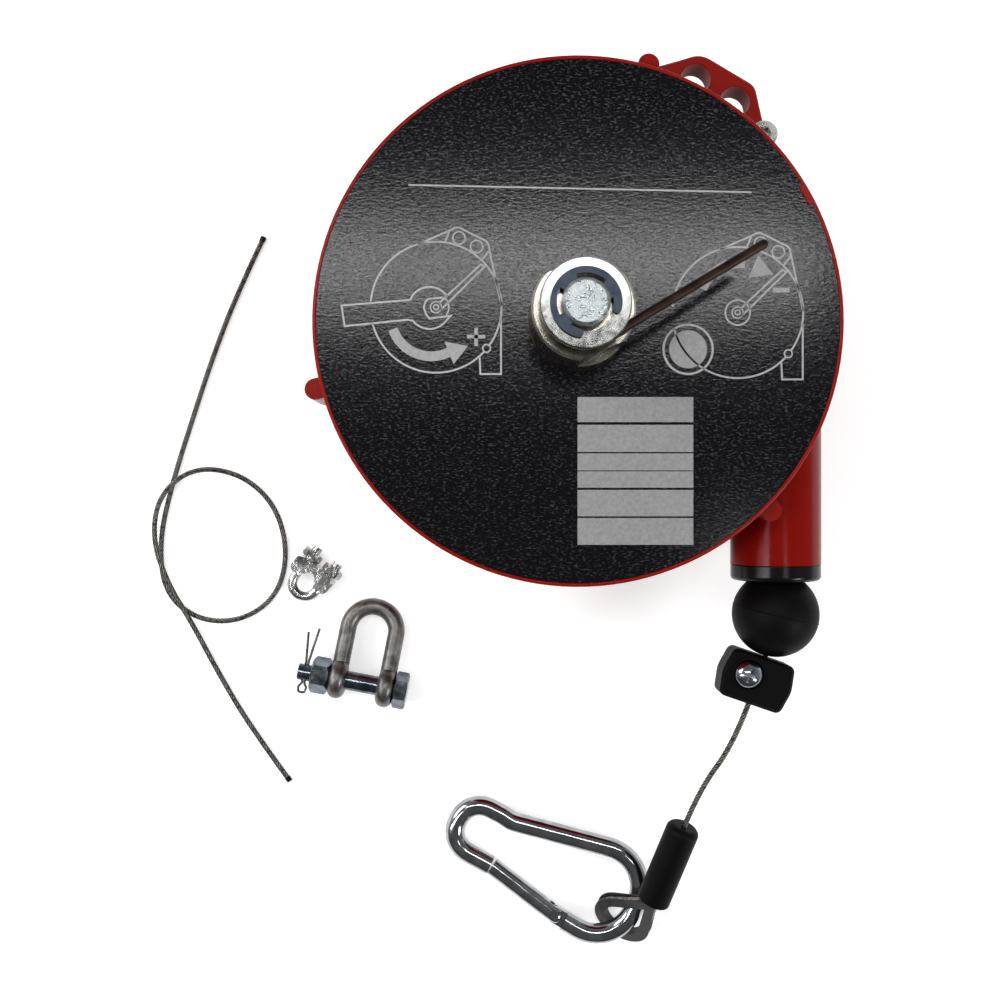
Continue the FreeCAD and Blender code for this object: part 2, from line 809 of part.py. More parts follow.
def power_spring():
    """Flat spiral spring, drawn as half turns of growing radius."""
    start = hub_radius + spring_margin
    end = drum_inner - spring_margin - spring_strip
    steps = spring_turns * 2
    growth = (end - start) / steps
    inner_arcs = []
    outer_arcs = []
    for k in range(steps):
        radius = start + growth * (k + 0.5)
        side = 1 if k % 2 == 0 else -1
        centre = -side * growth / 2
        for radii, arcs in ((radius, inner_arcs), (radius + spring_strip, outer_arcs)):
            a = V(centre + side * radii, 0, 0)
            m = V(centre, side * radii, 0)
            b = V(centre - side * radii, 0, 0)
            arcs.append((a, m, b))
    edges = []
    for arcs in (inner_arcs, outer_arcs):
        for a, m, b in arcs:
            edges.append(Part.Arc(a, m, b).toShape())
    edges.append(Part.LineSegment(inner_arcs[0][0], outer_arcs[0][0]).toShape())
    edges.append(Part.LineSegment(inner_arcs[-1][2], outer_arcs[-1][2]).toShape())
    wire = Part.Wire(Part.__sortEdges__(edges))
    strip = Part.Face(wire).extrude(V(0, 0, spring_height))
    return strip.translated(V(0, 0, spring_cup_floor()))


def winding():
    """Outer shape of the cable's turns on the drum."""
    low = nose_z - winding_width + cable_diameter + 1.0
    return ring(drum_outer + cable_diameter, drum_outer, low, nose_z + cable_diameter - 1.0)


def tension_hub():
    """Arbor: long sleeve on the axle with spanner flats and a neck for the wrap spring."""
    body = disc(hub_radius, hub_base, hub_top).fuse(disc(neck_radius, hub_top - 1, neck_top))
    top_rim = [e for e in body.Edges if hasattr(e.Curve, "Radius")
               and abs(e.Curve.Radius - hub_radius) < 1e-6 and e.CenterOfMass.z > hub_top - 0.1]
    body = body.makeChamfer(0.7, top_rim)
    for angle in (hub_flat_angle, hub_flat_angle + 180.0):
        block = Part.makeBox(10, 60, hub_top - hub_ledge + 1, V(hub_flats / 2, -30, 0))
        body = body.cut(placed(block, V(0, 0, hub_ledge), polar(1, angle), polar(1, angle + 90)))
    hook = Part.makeBox(hub_hook_depth + 1, hub_hook_width, spring_height,
                        V(hub_radius - hub_hook_depth, -hub_hook_width / 2, spring_cup_floor()))
    body = body.cut(hook.rotated(V(0, 0, 0), UP, 180))
    return body.cut(disc(axle_radius + running_gap, hub_base - 1, neck_top + 1)).removeSplitter()


def release_lever():
    """Wrap spring round the hub's neck; its long free end is the release lever."""
    rise = wrap_pitch * wrap_turns
    helix = Part.makeHelix(wrap_pitch, rise, wrap_radius)
    helix.Placement = FreeCAD.Placement(V(0, 0, 0), FreeCAD.Rotation(V(1, 0, 0), 180))
    path = Part.Wire(helix.Edges)
    section = Part.Wire(Part.Circle(V(wrap_radius, 0, 0), V(0, -1, 0), wrap_wire / 2).toShape())
    coil = Part.Solid(path.makePipeShell([section], True, True))
    coil = coil.translated(V(0, 0, lever_z + rise)).rotated(V(0, 0, 0), UP, tang_angle())
    root = polar(wrap_radius, lever_angle - 90.0, lever_z)
    tip = root + heading(lever_angle) * lever_length
    lever = rod(root, tip, wrap_wire / 2)
    knee = Part.makeSphere(wrap_wire / 2, root)
    nose = Part.makeSphere(wrap_wire / 2, tip)
    tang_base = V(0, 0, lever_z + rise)
    tang_start = polar(wrap_radius, tang_angle()) + tang_base
    head = Part.makeSphere(wrap_wire / 2, tang_start)
    tang = disc(tang_radius(), tang_start.z, washer_base + tang_length, tang_start)
    return coil.fuse([lever, knee, nose, head, tang]).removeSplitter()


def along_nose(shape, y):
    """Places a piece drawn along +Z on the nose axis, pointing down the cable."""
    return placed(shape, V(nose_x, y, nose_z), V(1, 0, 0), V(0, 0, 1))


def nose_bush():
    """Black cable guide in the nose with a dished seat for the stop ball."""
    outer = nose_radius - 0.1
    body = turned([
        (guide_hole / 2, -bush_spigot),
        (nose_bore - 0.05, -bush_spigot),
        (nose_bore - 0.05, 0),
        (outer, 0),
        (outer, bush_length),
        (guide_hole / 2, bush_length),
    ], [1.2, 0.8, 0, 0.4, bush_round, 0])
    seat = Part.makeSphere(ball_radius + easy_gap, V(0, 0, bush_length + ball_radius - ball_nest))
    return along_nose(body.cut(seat), -nose_end)


def clamp_axes():
    """The clamp block's own directions: across, and up along the cable."""
    return polar(1, clamp_turn), polar(1, clamp_turn + 90.0)


def clamp_point(across, along, z=0.0):
    """Point in the clamp block's own directions."""
    x_axis, y_axis = clamp_axes()
    return clamp_centre + V(0, 0, z) + x_axis * across + y_axis * along


def lead_points():
    """Cable from the drum's tangent through ball and clamp block."""
    top = V(nose_x, -math.sqrt((drum_outer + cable_diameter) ** 2 - (drum_pitch_radius - 1) ** 2) - 1.5, nose_z)
    half = clamp_height / 2
    return [
        top,
        V(nose_x, ball_centre_y, nose_z),
        clamp_point(clamp_cable_offset + 0.4, half + 1.2),
        clamp_point(clamp_cable_offset, -half, -0.5),
    ]


def stop_ball():
    """Rubber ball that stops the cable at the nose, with a tilted mould seam nub."""
    centre = V(nose_x, ball_centre_y, nose_z)
    body = Part.makeSphere(ball_radius, centre)
    route = lead_points()
    bore = cable_diameter / 2 + running_gap
    bars = [rod(a, b, bore) for a, b in zip(route, route[1:])]
    knees = [Part.makeSphere(bore + 0.3, p) for p in route[1:-1]]
    channel = bars[0].fuse(bars[1:] + knees)
    nub_axis = heading(-ball_tilt)
    nub = rod(centre + nub_axis * (ball_radius - 0.6), centre + nub_axis * (ball_radius + 0.5), 0.45)
    return body.cut(channel).fuse(nub)


def cable_channel(points, radius):
    """Room for a cable: straight bars between points with a ball at each bend."""
    bars = [rod(a, b, radius) for a, b in zip(points, points[1:])]
    knees = [Part.makeSphere(radius, p) for p in points[1:-1]]
    return bars[0].fuse(bars[1:] + knees)


def lead_cable():
    """Cable held by drum, nose, ball and clamp."""
    return cable(lead_points(), cable_diameter, "lead cable", cable_knee_radius)


def clamp_outline(inset=0.0):
    """Outline of the clamp block with bulging short sides."""
    w = clamp_width / 2 - inset
    h = clamp_height / 2 - inset
    bulge = w + clamp_bulge
    return [V(-w, -h, 0), V(0, -h, 0), V(w, -h, 0), V(bulge, 0, 0),
            V(w, h, 0), V(0, h, 0), V(-w, h, 0), V(-bulge, 0, 0)]


def clamp_half(upper):
    """One half of the clamp block, split through the cable."""
    radii = [clamp_round, 0, clamp_round, 10.0, clamp_round, 0, clamp_round, 10.0]
    half = clamp_thickness / 2
    slab = rounded_face(clamp_outline(), radii).extrude(V(0, 0, half - 0.1))
    outer = [e for e in slab.Edges if e.CenterOfMass.z > half - 0.2]
    slab = slab.makeChamfer(1.0, outer)
    screw_x, screw_y = clamp_screw_offset
    if upper:
        slab = slab.fuse(disc(clamp_screw_head / 2 + 0.9, half - 2, half + clamp_boss, V(screw_x, screw_y, 0)))
        slab = slab.cut(disc(clamp_screw_head / 2 + 0.15, half - 0.3, half + 3, V(screw_x, screw_y, 0)))
    else:
        pocket = hexagon(clamp_nut_flats + 0.2, clamp_nut_thickness + 1.2, 0.05)
        slab = slab.cut(pocket.translated(V(screw_x, screw_y, half - clamp_nut_thickness - 0.4)))
    slab = slab.cut(disc(clamp_screw_diameter / 2 + 0.1, -1, half + 3, V(screw_x, screw_y, 0)))
    x_axis, y_axis = clamp_axes()
    body = slab.translated(V(0, 0, 0.1))
    if not upper:
        body = body.mirror(V(0, 0, 0), UP)
    body = placed(body, clamp_point(0, 0), x_axis, y_axis)
    route = lead_points()[1:-1] + [load_points()[1]]
    return body.cut(cable_channel(route, cable_diameter / 2 + running_gap))


def clamp_screw():
    """Domed cross-recess screw through both halves."""
    half = clamp_thickness / 2
    head_base = half - 0.2
    radius = clamp_screw_head / 2
    dome_radius = (radius ** 2 + clamp_head_height ** 2) / (2 * clamp_head_height)
    ball = Part.makeSphere(dome_radius, V(0, 0, head_base + clamp_head_height - dome_radius))
    dome = ball.common(disc(radius, head_base, head_base + clamp_head_height + 1))
    shank = disc(clamp_screw_diameter / 2, -half + 0.4, head_base + 0.2)
    top = head_base + clamp_head_height
    cross = Part.makeBox(5.0, 1.1, 3.0, V(-2.5, -0.55, top - 1.8))
    cross = cross.fuse(Part.makeBox(1.1, 5.0, 3.0, V(-0.55, -2.5, top - 1.8)))
    body = dome.fuse(shank).cut(cross)
    x_axis, y_axis = clamp_axes()
    return placed(body, clamp_point(*clamp_screw_offset), x_axis, y_axis)


def clamp_nut():
    """Hexagon nut in the lower half."""
    half = clamp_thickness / 2
    nut = hexagon(clamp_nut_flats, clamp_nut_thickness)
    nut = nut.cut(disc(clamp_screw_diameter / 2, -1, clamp_nut_thickness + 1))
    x_axis, y_axis = clamp_axes()
    origin = clamp_point(clamp_screw_offset[0], clamp_screw_offset[1], -half + 0.15)
    return placed(nut, origin, x_axis, y_axis)


def load_points():
    """Free stretch of cable from the clamp block to the sleeve."""
    before, start = lead_points()[-2:]
    out = (start - before).normalize()
    into = (sleeve_bottom - sleeve_top).normalize()
    return [start, start + out * load_run_out, sleeve_top - into * load_run_in, sleeve_top]


def load_cable():
    """Free cable between clamp block and sleeve."""
    return cable(load_points(), cable_diameter, "load cable")


def along_sleeve(shape):
    """Places a piece drawn along +Z from the sleeve's top to its bottom."""
    run = sleeve_bottom - sleeve_top
    side = run.cross(UP)
    return placed(shape, sleeve_top, side, side.cross(run) * -1)


def sleeve_length():
    """Length of the black sleeve."""
    return (sleeve_bottom - sleeve_top).Length


def end_sleeve():
    """Black rubber sleeve over the ferrule, rounded at the top and open at the thimble."""
    length = sleeve_length()
    body = turned([
        (0, 0),
        (sleeve_diameter / 2, 0),
        (sleeve_diameter / 2, length),
        (0, length),
    ], [0, sleeve_round, 0.6, 0])
    inner = sleeve_diameter / 2 - sleeve_wall
    bore = disc(inner, ferrule_start - 0.5, length + 1)
    bore = bore.fuse(disc(cable_diameter / 2 + running_gap, -1, ferrule_start))
    return along_sleeve(body.cut(bore))


def ferrule():
    """Pressed ferrule inside the sleeve."""
    radius = sleeve_diameter / 2 - sleeve_wall - running_gap
    body = disc(radius, ferrule_start, sleeve_length() - ferrule_recess)
    return along_sleeve(body)


def sleeve_wire():
    """Cable between the sleeve's mouth and its ferrule."""
    return along_sleeve(disc(cable_diameter / 2, 0, ferrule_start))


def on_thimble(shape):
    """Places a piece drawn in the thimble's plane, tip along its own +X."""
    x_axis = heading(thimble_heading, thimble_pitch)
    y_axis = polar(1, thimble_heading + 90.0)
    lift = math.radians(thimble_pitch)
    low_edge = thimble_radius * math.sin(lift) + thimble_thickness / 2 * math.cos(lift)
    return placed(shape, V(thimble_x, thimble_y, low_edge + floor_gap), x_axis, y_axis)


def teardrop(radius, tip, z0, z1):
    """Drop-shaped slab: a round end and two straight sides that meet in a rounded tip."""
    slope = math.degrees(math.acos(radius / tip))
    a = polar(radius, slope)
    b = polar(radius, -slope)
    back = V(-radius, 0, 0)
    edges = [
        Part.Arc(a, back, b).toShape(),
        Part.LineSegment(b, V(tip, 0, 0)).toShape(),
        Part.LineSegment(V(tip, 0, 0), a).toShape(),
    ]
    slab = Part.Face(Part.Wire(edges)).extrude(V(0, 0, z1 - z0))
    return slab.translated(V(0, 0, z0))


def thimble():
    """Stamped thimble with a groove for the cable."""
    half = thimble_thickness / 2
    body = teardrop(thimble_radius, thimble_tip + 1.5, -half, half)
    groove_radius = thimble_eye + thimble_web
    groove_tip = thimble_eye_tip + thimble_web * thimble_eye_tip / thimble_eye
    channel = teardrop(thimble_radius + 3, thimble_tip + 9, -thimble_groove / 2, thimble_groove / 2)
    channel = channel.cut(teardrop(groove_radius, groove_tip, -half, half))
    body = body.cut(channel)
    body = body.cut(teardrop(thimble_eye, thimble_eye_tip, -half - 1, half + 1))
    trim = Part.makeBox(20, 40, 20, V(thimble_tip - 1.5, -20, -10))
    return on_thimble(body.cut(trim))


def eye_cable():
    """Cable round the thimble, from the ferrule and back."""
    radius = thimble_eye + thimble_web + cable_diameter / 2 + running_gap
    tip = thimble_tip + 1.5
    slope = math.degrees(math.acos(radius / tip))
    leg = 0.86
    a = polar(radius, slope)
    b = polar(radius, -slope)
    apex = V(tip, 0, 0)
    start = a + (apex - a) * leg
    end = b + (apex - b) * leg
    edges = [
        Part.LineSegment(start, a).toShape(),
        Part.Arc(a, V(-radius, 0, 0), b).toShape(),
        Part.LineSegment(b, end).toShape(),
    ]
    path = Part.Wire(edges)
    section = Part.Wire(Part.Circle(start, a - start, cable_diameter / 2).toShape())
    return on_thimble(Part.Solid(path.makePipeShell([section], True, False)))


def on_hook(shape):
    """Places a piece drawn in the snap hook's own plane."""
    return placed(shape, hook_origin, heading(hook_heading, hook_lift), polar(1, hook_heading + 90.0))


def hook_pivot_point():
    """Gate pivot in the hook's own plane."""
    return V(hook_pivot[0], hook_pivot[1], 0)


def hook_path():
    """Centre line of the bent rod, from its nose round to the gate pivot."""
    slope = math.tan(math.radians(hook_spine_slope))
    corner_rise = (hook_big_end - hook_spine_start[0]) * slope
    points = [
        V(hook_nose[0], hook_nose[1], 0),
        V(-hook_small_width, hook_nose[1], 0),
        V(-hook_small_width, hook_small_top, 0),
        V(hook_jog[0], hook_jog[1] + 0.1, 0),
        V(hook_spine_start[0], hook_spine_start[1], 0),
        V(hook_big_end, hook_spine_start[1] + corner_rise, 0),
        V(hook_big_end, hook_big_bottom, 0),
        V(hook_pivot[0] + gate_rod / 2 + 0.4, hook_pivot[1] - 0.4, 0),
    ]
    radii = [0, hook_small_round, hook_small_round, hook_jog_round, hook_jog_round * 2,
             hook_big_round, hook_big_round, 0]
    return points, radii


def snap_hook():
    """Bent rod of the snap hook with a flat tongue for the gate."""
    points, radii = hook_path()
    path = Part.Wire(rounded_edges(points, radii, closed=False))
    section = Part.Wire(Part.Circle(points[0], points[1] - points[0], hook_rod / 2).toShape())
    body = Part.Solid(path.makePipeShell([section], True, False))
    pivot = hook_pivot_point()
    half = gate_tongue / 2
    tongue = disc(gate_rod / 2 - 0.3, -half, half, pivot)
    arm = Part.makeBox(gate_rod / 2 + 2.5, gate_rod - 0.6, gate_tongue,
                       V(pivot.x, pivot.y - gate_rod / 2 + 0.3, -half))
    body = body.fuse([tongue, arm])
    body = body.cut(disc(gate_pin_diameter / 2 + running_gap, -gate_rod, gate_rod, pivot))
    return on_hook(body.removeSplitter())


def gate():
    """Gate of the snap hook, forked at its pivot."""
    pivot = hook_pivot_point()
    nose = V(hook_nose[0] + gate_nose_gap, hook_nose[1], 0)
    body = rod(pivot, nose, gate_rod / 2)
    body = body.fuse(Part.makeSphere(gate_rod / 2, pivot))
    half = gate_tongue / 2 + 0.1
    slot = Part.makeBox(gate_rod * 2 + 1, gate_rod * 3, 2 * half,
                        V(-gate_rod / 2 - 0.6, -gate_rod * 1.5, -half)).translated(pivot)
    body = body.cut(slot)
    body = body.cut(disc(gate_pin_diameter / 2, -gate_rod, gate_rod, pivot))
    return on_hook(body.removeSplitter())


def gate_pivot_pin():
    """Rivet through gate and tongue."""
    length = gate_rod / 2 - 0.4
    return on_hook(disc(gate_pin_diameter / 2, -length, length, hook_pivot_point()))


def on_shackle(shape):
    """Places a piece of the shackle: +X along its pin to the head, +Y to the bow."""
    x_axis = polar(1, shackle_heading)
    return placed(shape, V(*shackle_at), x_axis, heading(shackle_heading + 90.0, shackle_tilt))


def shackle_bow():
    """Bent bow with forged eyes."""
    leg = (shackle_jaw + shackle_rod) / 2
    top = shackle_inside + shackle_pin / 2 + shackle_rod / 2
    points = [V(-leg, 0, 0), V(-leg, top, 0), V(leg, top, 0), V(leg, 0, 0)]
    radii = [0, leg * 0.999, leg * 0.999, 0]
    path = Part.Wire(rounded_edges(points, radii, closed=False))
    section = Part.Wire(Part.Circle(points[0], V(0, 1, 0), shackle_rod / 2).toShape())
    body = Part.Solid(path.makePipeShell([section], True, False))
    for side in (-1, 1):
        x0 = side * leg - shackle_rod / 2
        eye = turned([
            (0, 0),
            (shackle_eye / 2, 0),
            (shackle_eye / 2, shackle_rod),
            (0, shackle_rod),
        ], [0, shackle_eye_round, shackle_eye_round, 0])
        body = body.fuse(placed(eye, V(x0, 0, 0), V(0, 1, 0), V(0, 0, 1)))
    past_eye = leg + shackle_rod
    pin_hole = rod(V(-past_eye, 0, 0), V(past_eye, 0, 0), shackle_pin / 2 + hole_gap)
    return on_shackle(body.cut(pin_hole).removeSplitter())


def shackle_bolt():
    """Bolt of the shackle with a turned-down tail for the split pin."""
    seat = shackle_jaw / 2 + shackle_rod + 0.15
    head = placed(hexagon(shackle_head_flats, shackle_head), V(seat, 0, 0), V(0, 1, 0), V(0, 0, 1))
    shank = rod(V(-seat - shackle_nut, 0, 0), V(seat + 0.5, 0, 0), shackle_pin / 2)
    tail_end = -seat - shackle_nut - shackle_tail
    tail = rod(V(tail_end, 0, 0), V(-seat - shackle_nut + 0.5, 0, 0), shackle_tail_diameter / 2)
    across = V(0, shackle_tail_diameter, 0)
    hole = rod(split_centre() - across, split_centre() + across, split_wire + 0.15)
    return on_shackle(head.fuse([shank, tail]).cut(hole).removeSplitter())


def split_centre():
    """Where the split pin crosses the bolt."""
    return V(-(shackle_jaw / 2 + shackle_rod + 0.15 + shackle_nut + shackle_tail / 2), 0, 0)


def shackle_nut_piece():
    """Nut of the shackle bolt."""
    seat = shackle_jaw / 2 + shackle_rod + 0.15
    nut = hexagon(shackle_head_flats, shackle_nut - 0.2, 0.9)
    nut = nut.cut(disc(shackle_pin / 2, -1, shackle_nut + 1))
    return on_shackle(placed(nut, V(-seat - shackle_nut + 0.2, 0, 0), V(0, 1, 0), V(0, 0, 1)))


def split_pin():
    """Split pin: one wire folded into an eye below, with two spread legs."""
    centre = split_centre()
    radius = split_wire / 2
    apart = radius + 0.03
    neck = -shackle_tail_diameter / 2 - 0.9
    bend = shackle_tail_diameter / 2 + 1.2
    left = []
    for side, length in ((-1, split_leg - 2.0), (1, split_leg)):
        spread = math.radians(split_spread)
        tip = V(side * (apart + length * math.sin(spread)), bend + length * math.cos(spread), 0)
        run = [
            centre + tip,
            centre + V(side * apart, bend, 0),
            centre + V(side * apart, neck, 0),
            centre + V(side * split_eye, neck - split_eye, 0),
            centre + V(side * split_eye * 0.8, neck - split_eye * 2.3, 0),
        ]
        if side < 0:
            left = run
    points = left + run[::-1]
    radii = [0, 3.0, 0.7, 0.7, 0.8, 0.8, 0.7, 0.7, 3.0, 0]
    path = Part.Wire(rounded_edges(points, radii, closed=False))
    section = Part.Wire(Part.Circle(points[0], points[1] - points[0], radius).toShape())
    return on_shackle(Part.Solid(path.makePipeShell([section], True, False)))


def on_clip(shape):
    """Places a piece of the cable clip: +X across its legs, +Y to the nuts."""
    return placed(shape, V(*clip_at), polar(1, clip_heading), polar(1, clip_heading + 90.0))


def clip_u_bolt():
    """U-bolt of the cable clip."""
    half = clip_span / 2
    edges = [
        Part.LineSegment(V(-half, clip_leg, 0), V(-half, 0, 0)).toShape(),
        Part.Arc(V(-half, 0, 0), V(0, -half, 0), V(half, 0, 0)).toShape(),
        Part.LineSegment(V(half, 0, 0), V(half, clip_leg, 0)).toShape(),
    ]
    section = Part.Wire(Part.Circle(V(-half, clip_leg, 0), V(0, -1, 0), clip_rod / 2).toShape())
    return on_clip(Part.Solid(Part.Wire(edges).makePipeShell([section], True, False)))


def clip_saddle():
    """Forged saddle with a lobe round each leg and a cable groove between them."""
    half = clip_span / 2
    end = half + clip_rod / 2 + 1.8
    z = clip_saddle_width / 2
    base = clip_saddle_at
    top = base + clip_saddle_height
    low = base - clip_lobe_reach
    right = [V(clip_lobe_inner, base, -z), V(clip_lobe_inner, low, -z), V(end, low, -z),
             V(end, top - 1.4, -z), V(end - 3.4, top, -z)]
    left = [V(-p.x, p.y, p.z) for p in reversed(right)]
    body = rounded_face(right + left, [0, 0.9, 2.2, 0.8, 2.0, 2.0, 0.8, 2.2, 0.9, 0]).extrude(V(0, 0, 2 * z))
    groove = rod(V(0, base - 0.6, -z - 1), V(0, base - 0.6, z + 1), cable_diameter + 0.4)
    body = body.cut(groove)
    for side in (-1, 1):
        body = body.cut(rod(V(side * half, low - 1, 0), V(side * half, top + 1, 0), clip_rod / 2 + 0.15))
    return on_clip(body)


def clip_nuts():
    """Two nuts on the legs of the clip."""
    nuts = []
    seat = clip_saddle_at + clip_saddle_height + 0.1
    for side in (-1, 1):
        nut = hexagon(clip_nut_flats, clip_nut_thickness)
        nut = nut.cut(disc(clip_rod / 2, -1, clip_nut_thickness + 1))
        origin = V(side * clip_span / 2, seat, 0)
        nuts.append(on_clip(placed(nut, origin, V(1, 0, 0), V(0, 0, -1))))
    return Part.makeCompound(nuts)


def safety_cable():
    """Loose safety cable beside the balancer."""
    return cable(safety_route, cable_diameter, "safety cable")


pieces = {
    "housing": housing,
    "front_cover": front_cover,
    "label_plate": label_plate,
    "cover_screws": cover_screws,
    "side_screw": side_screw,
    "hub_bush": hub_bush,
    "axle": axle,
    "axle_pin": axle_pin,
    "thrust_washer": thrust_washer,
    "retaining_ring": retaining_ring,
    "nose_bush": nose_bush,
    "drum": drum,
    "drum_bush": drum_bush,
    "drum_lid": drum_lid,
    "lid_ring": lid_ring,
    "lid_bush": lid_bush,
    "power_spring": power_spring,
    "wound_cable": winding,
    "tension_hub": tension_hub,
    "release_lever": release_lever,
    "lead_cable": lead_cable,
    "stop_ball": stop_ball,
    "clamp_front": lambda: clamp_half(True),
    "clamp_back": lambda: clamp_half(False),
    "clamp_screw": clamp_screw,
    "clamp_nut": clamp_nut,
    "load_cable": load_cable,
    "end_sleeve": end_sleeve,
    "sleeve_wire": sleeve_wire,
    "ferrule": ferrule,
    "thimble": thimble,
    "eye_cable": eye_cable,
    "snap_hook": snap_hook,
    "hook_gate": gate,
    "gate_pin": gate_pivot_pin,
    "shackle_bow": shackle_bow,
    "shackle_bolt": shackle_bolt,
    "shackle_nut": shackle_nut_piece,
    "split_pin": split_pin,
    "clip_u_bolt": clip_u_bolt,
    "clip_saddle": clip_saddle,
    "clip_nuts": clip_nuts,
    "safety_cable": safety_cable,
}

os.makedirs("parts", exist_ok=True)
for name, make in pieces.items():
    make().exportStep("parts/" + name + ".step")
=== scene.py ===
import math

import bmesh
import bpy
from mathutils import Matrix, Vector


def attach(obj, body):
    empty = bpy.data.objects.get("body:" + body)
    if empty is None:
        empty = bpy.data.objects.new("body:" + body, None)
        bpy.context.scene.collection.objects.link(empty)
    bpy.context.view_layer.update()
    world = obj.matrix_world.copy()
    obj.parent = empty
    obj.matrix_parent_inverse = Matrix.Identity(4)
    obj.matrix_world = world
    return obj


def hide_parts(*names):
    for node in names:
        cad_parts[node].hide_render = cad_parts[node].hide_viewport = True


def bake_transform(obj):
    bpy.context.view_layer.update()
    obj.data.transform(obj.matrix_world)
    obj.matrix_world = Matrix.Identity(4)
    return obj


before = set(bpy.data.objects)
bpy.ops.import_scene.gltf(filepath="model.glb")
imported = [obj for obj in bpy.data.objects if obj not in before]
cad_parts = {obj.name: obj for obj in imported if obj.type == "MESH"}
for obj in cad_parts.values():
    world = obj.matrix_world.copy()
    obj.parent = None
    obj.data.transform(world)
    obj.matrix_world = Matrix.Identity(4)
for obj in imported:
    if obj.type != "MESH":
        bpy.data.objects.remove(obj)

bl_info = {
    "name": "Spring Tool Balancer",
    "version": (1, 0, 0),
    "blender": (4, 5, 0),
    "location": "3D View > Sidebar > Balancer",
    "description": "Dresses the spring tool balancer and its loose suspension set",
    "category": "Object",
}

# Lengths in millimetres

MM = 0.001
PLATE_TOP = 74.0
CABLE = 2.0
STRAND = CABLE / 6
CAMERA_X = -25.06
CAMERA_Y = -57.51
CAMERA_HEIGHT = 450.0
FLOOR_SCALE = 0.3845
FLOOR_HALF = 4000.0


# Shader and geometry node helpers

class Value:
    """A socket's value in a node tree, so that maths on it reads as an expression."""

    def __init__(self, tree, socket):
        self.tree = tree
        self.socket = socket

    def _math(self, operation, first, second=0.0):
        return self.tree.node("ShaderNodeMath", {"operation": operation}, {0: first, 1: second})

    def __add__(self, other):
        return self._math("ADD", self, other)

    def __radd__(self, other):
        return self._math("ADD", other, self)

    def __sub__(self, other):
        return self._math("SUBTRACT", self, other)

    def __rsub__(self, other):
        return self._math("SUBTRACT", other, self)

    def __mul__(self, other):
        return self._math("MULTIPLY", self, other)

    def __rmul__(self, other):
        return self._math("MULTIPLY", other, self)

    def __truediv__(self, other):
        return self._math("DIVIDE", self, other)

    def clamped(self):
        return self._math("MINIMUM", self._math("MAXIMUM", self, 0.0), 1.0)

    def sine(self):
        return self._math("SINE", self)


class Tree:
    """A node tree that is filled by one method."""

    def __init__(self, tree):
        self.tree = tree

    def node(self, kind, settings=None, inputs=None, out=0):
        made = self.tree.nodes.new(kind)
        for name, value in (settings or {}).items():
            if name == "stops":
                ramp = made.color_ramp
                while len(ramp.elements) < len(value):
                    ramp.elements.new(0.5)
                for element, (place, colour) in zip(ramp.elements, value):
                    element.position = place
                    element.color = colour
            else:
                setattr(made, name, value)
        for name, value in (inputs or {}).items():
            if isinstance(value, Value):
                self.tree.links.new(value.socket, made.inputs[name])
            else:
                made.inputs[name].default_value = value
        return Value(self, made.outputs[out]) if made.outputs else None


def grey(level):
    return (level, level, level, 1.0)


def rgb(red, green, blue):
    return (red, green, blue, 1.0)


def new_material(name):
    material = bpy.data.materials.new(name)
    material.use_nodes = True
    material.node_tree.nodes.clear()
    return material, Tree(material.node_tree)


def finish_material(tree, colour, roughness, bump=None, bump_distance=0.0002, bump_strength=0.4, **plain):
    """Principled surface: colour, roughness and height may be driven, the rest are plain numbers."""
    inputs = {"Base Color": colour, "Roughness": roughness}
    inputs.update({name.replace("_", " "): value for name, value in plain.items()})
    if bump is not None:
        inputs["Normal"] = tree.node("ShaderNodeBump", {}, {
            "Strength": bump_strength, "Distance": bump_distance, "Height": bump})
    surface = tree.node("ShaderNodeBsdfPrincipled", {}, inputs)
    tree.node("ShaderNodeOutputMaterial", {}, {"Surface": surface})


def place(tree, stretch=(1, 1, 1), shift=(0, 0, 0)):
    """Object coordinates, moved and stretched."""
    coordinates = tree.node("ShaderNodeTexCoord", out="Object")
    return tree.node("ShaderNodeMapping", {}, {
        "Vector": coordinates, "Location": shift, "Scale": stretch})


def noise(tree, vector, scale, detail=3.0, roughness=0.5, distortion=0.0):
    return tree.node("ShaderNodeTexNoise", {}, {
        "Vector": vector, "Scale": scale, "Detail": detail, "Roughness": roughness,
        "Distortion": distortion})


def mixed(tree, factor, first, second):
    return tree.node("ShaderNodeMix", {"data_type": "RGBA"}, {0: factor, 6: first, 7: second}, out=2)


def lifted(value, low, high):
    """Spreads a noise value's middle range over nought to one."""
    return ((value - low) / (high - low)).clamped()


# Finishes

DUSTY_RED = rgb(0.30, 0.09, 0.07)
RED_SHEEN = 0.12
WRINKLE_STRETCH = (1.0, 2.2, 1.0)


def shaded(colour, share):
    """A colour made darker or lighter."""
    return rgb(*[c * share for c in colour])


def red_paint(colour):
    """Smooth enamel of the cover."""
    material, tree = new_material("red_enamel")
    spot = place(tree)
    patches = noise(tree, spot, 24.0, 4.0)
    peel = noise(tree, spot, 900.0, 2.0)
    dust = lifted(noise(tree, spot, 260.0, 6.0, 0.7), 0.66, 0.84)
    base = mixed(tree, patches, shaded(colour, 0.86), shaded(colour, 1.10))
    base = mixed(tree, dust * 0.08, base, DUSTY_RED)
    finish_material(tree, base, 0.20 + patches * 0.10 + dust * 0.15, peel, 0.00003, 0.25,
                    Specular_IOR_Level=RED_SHEEN)
    return material


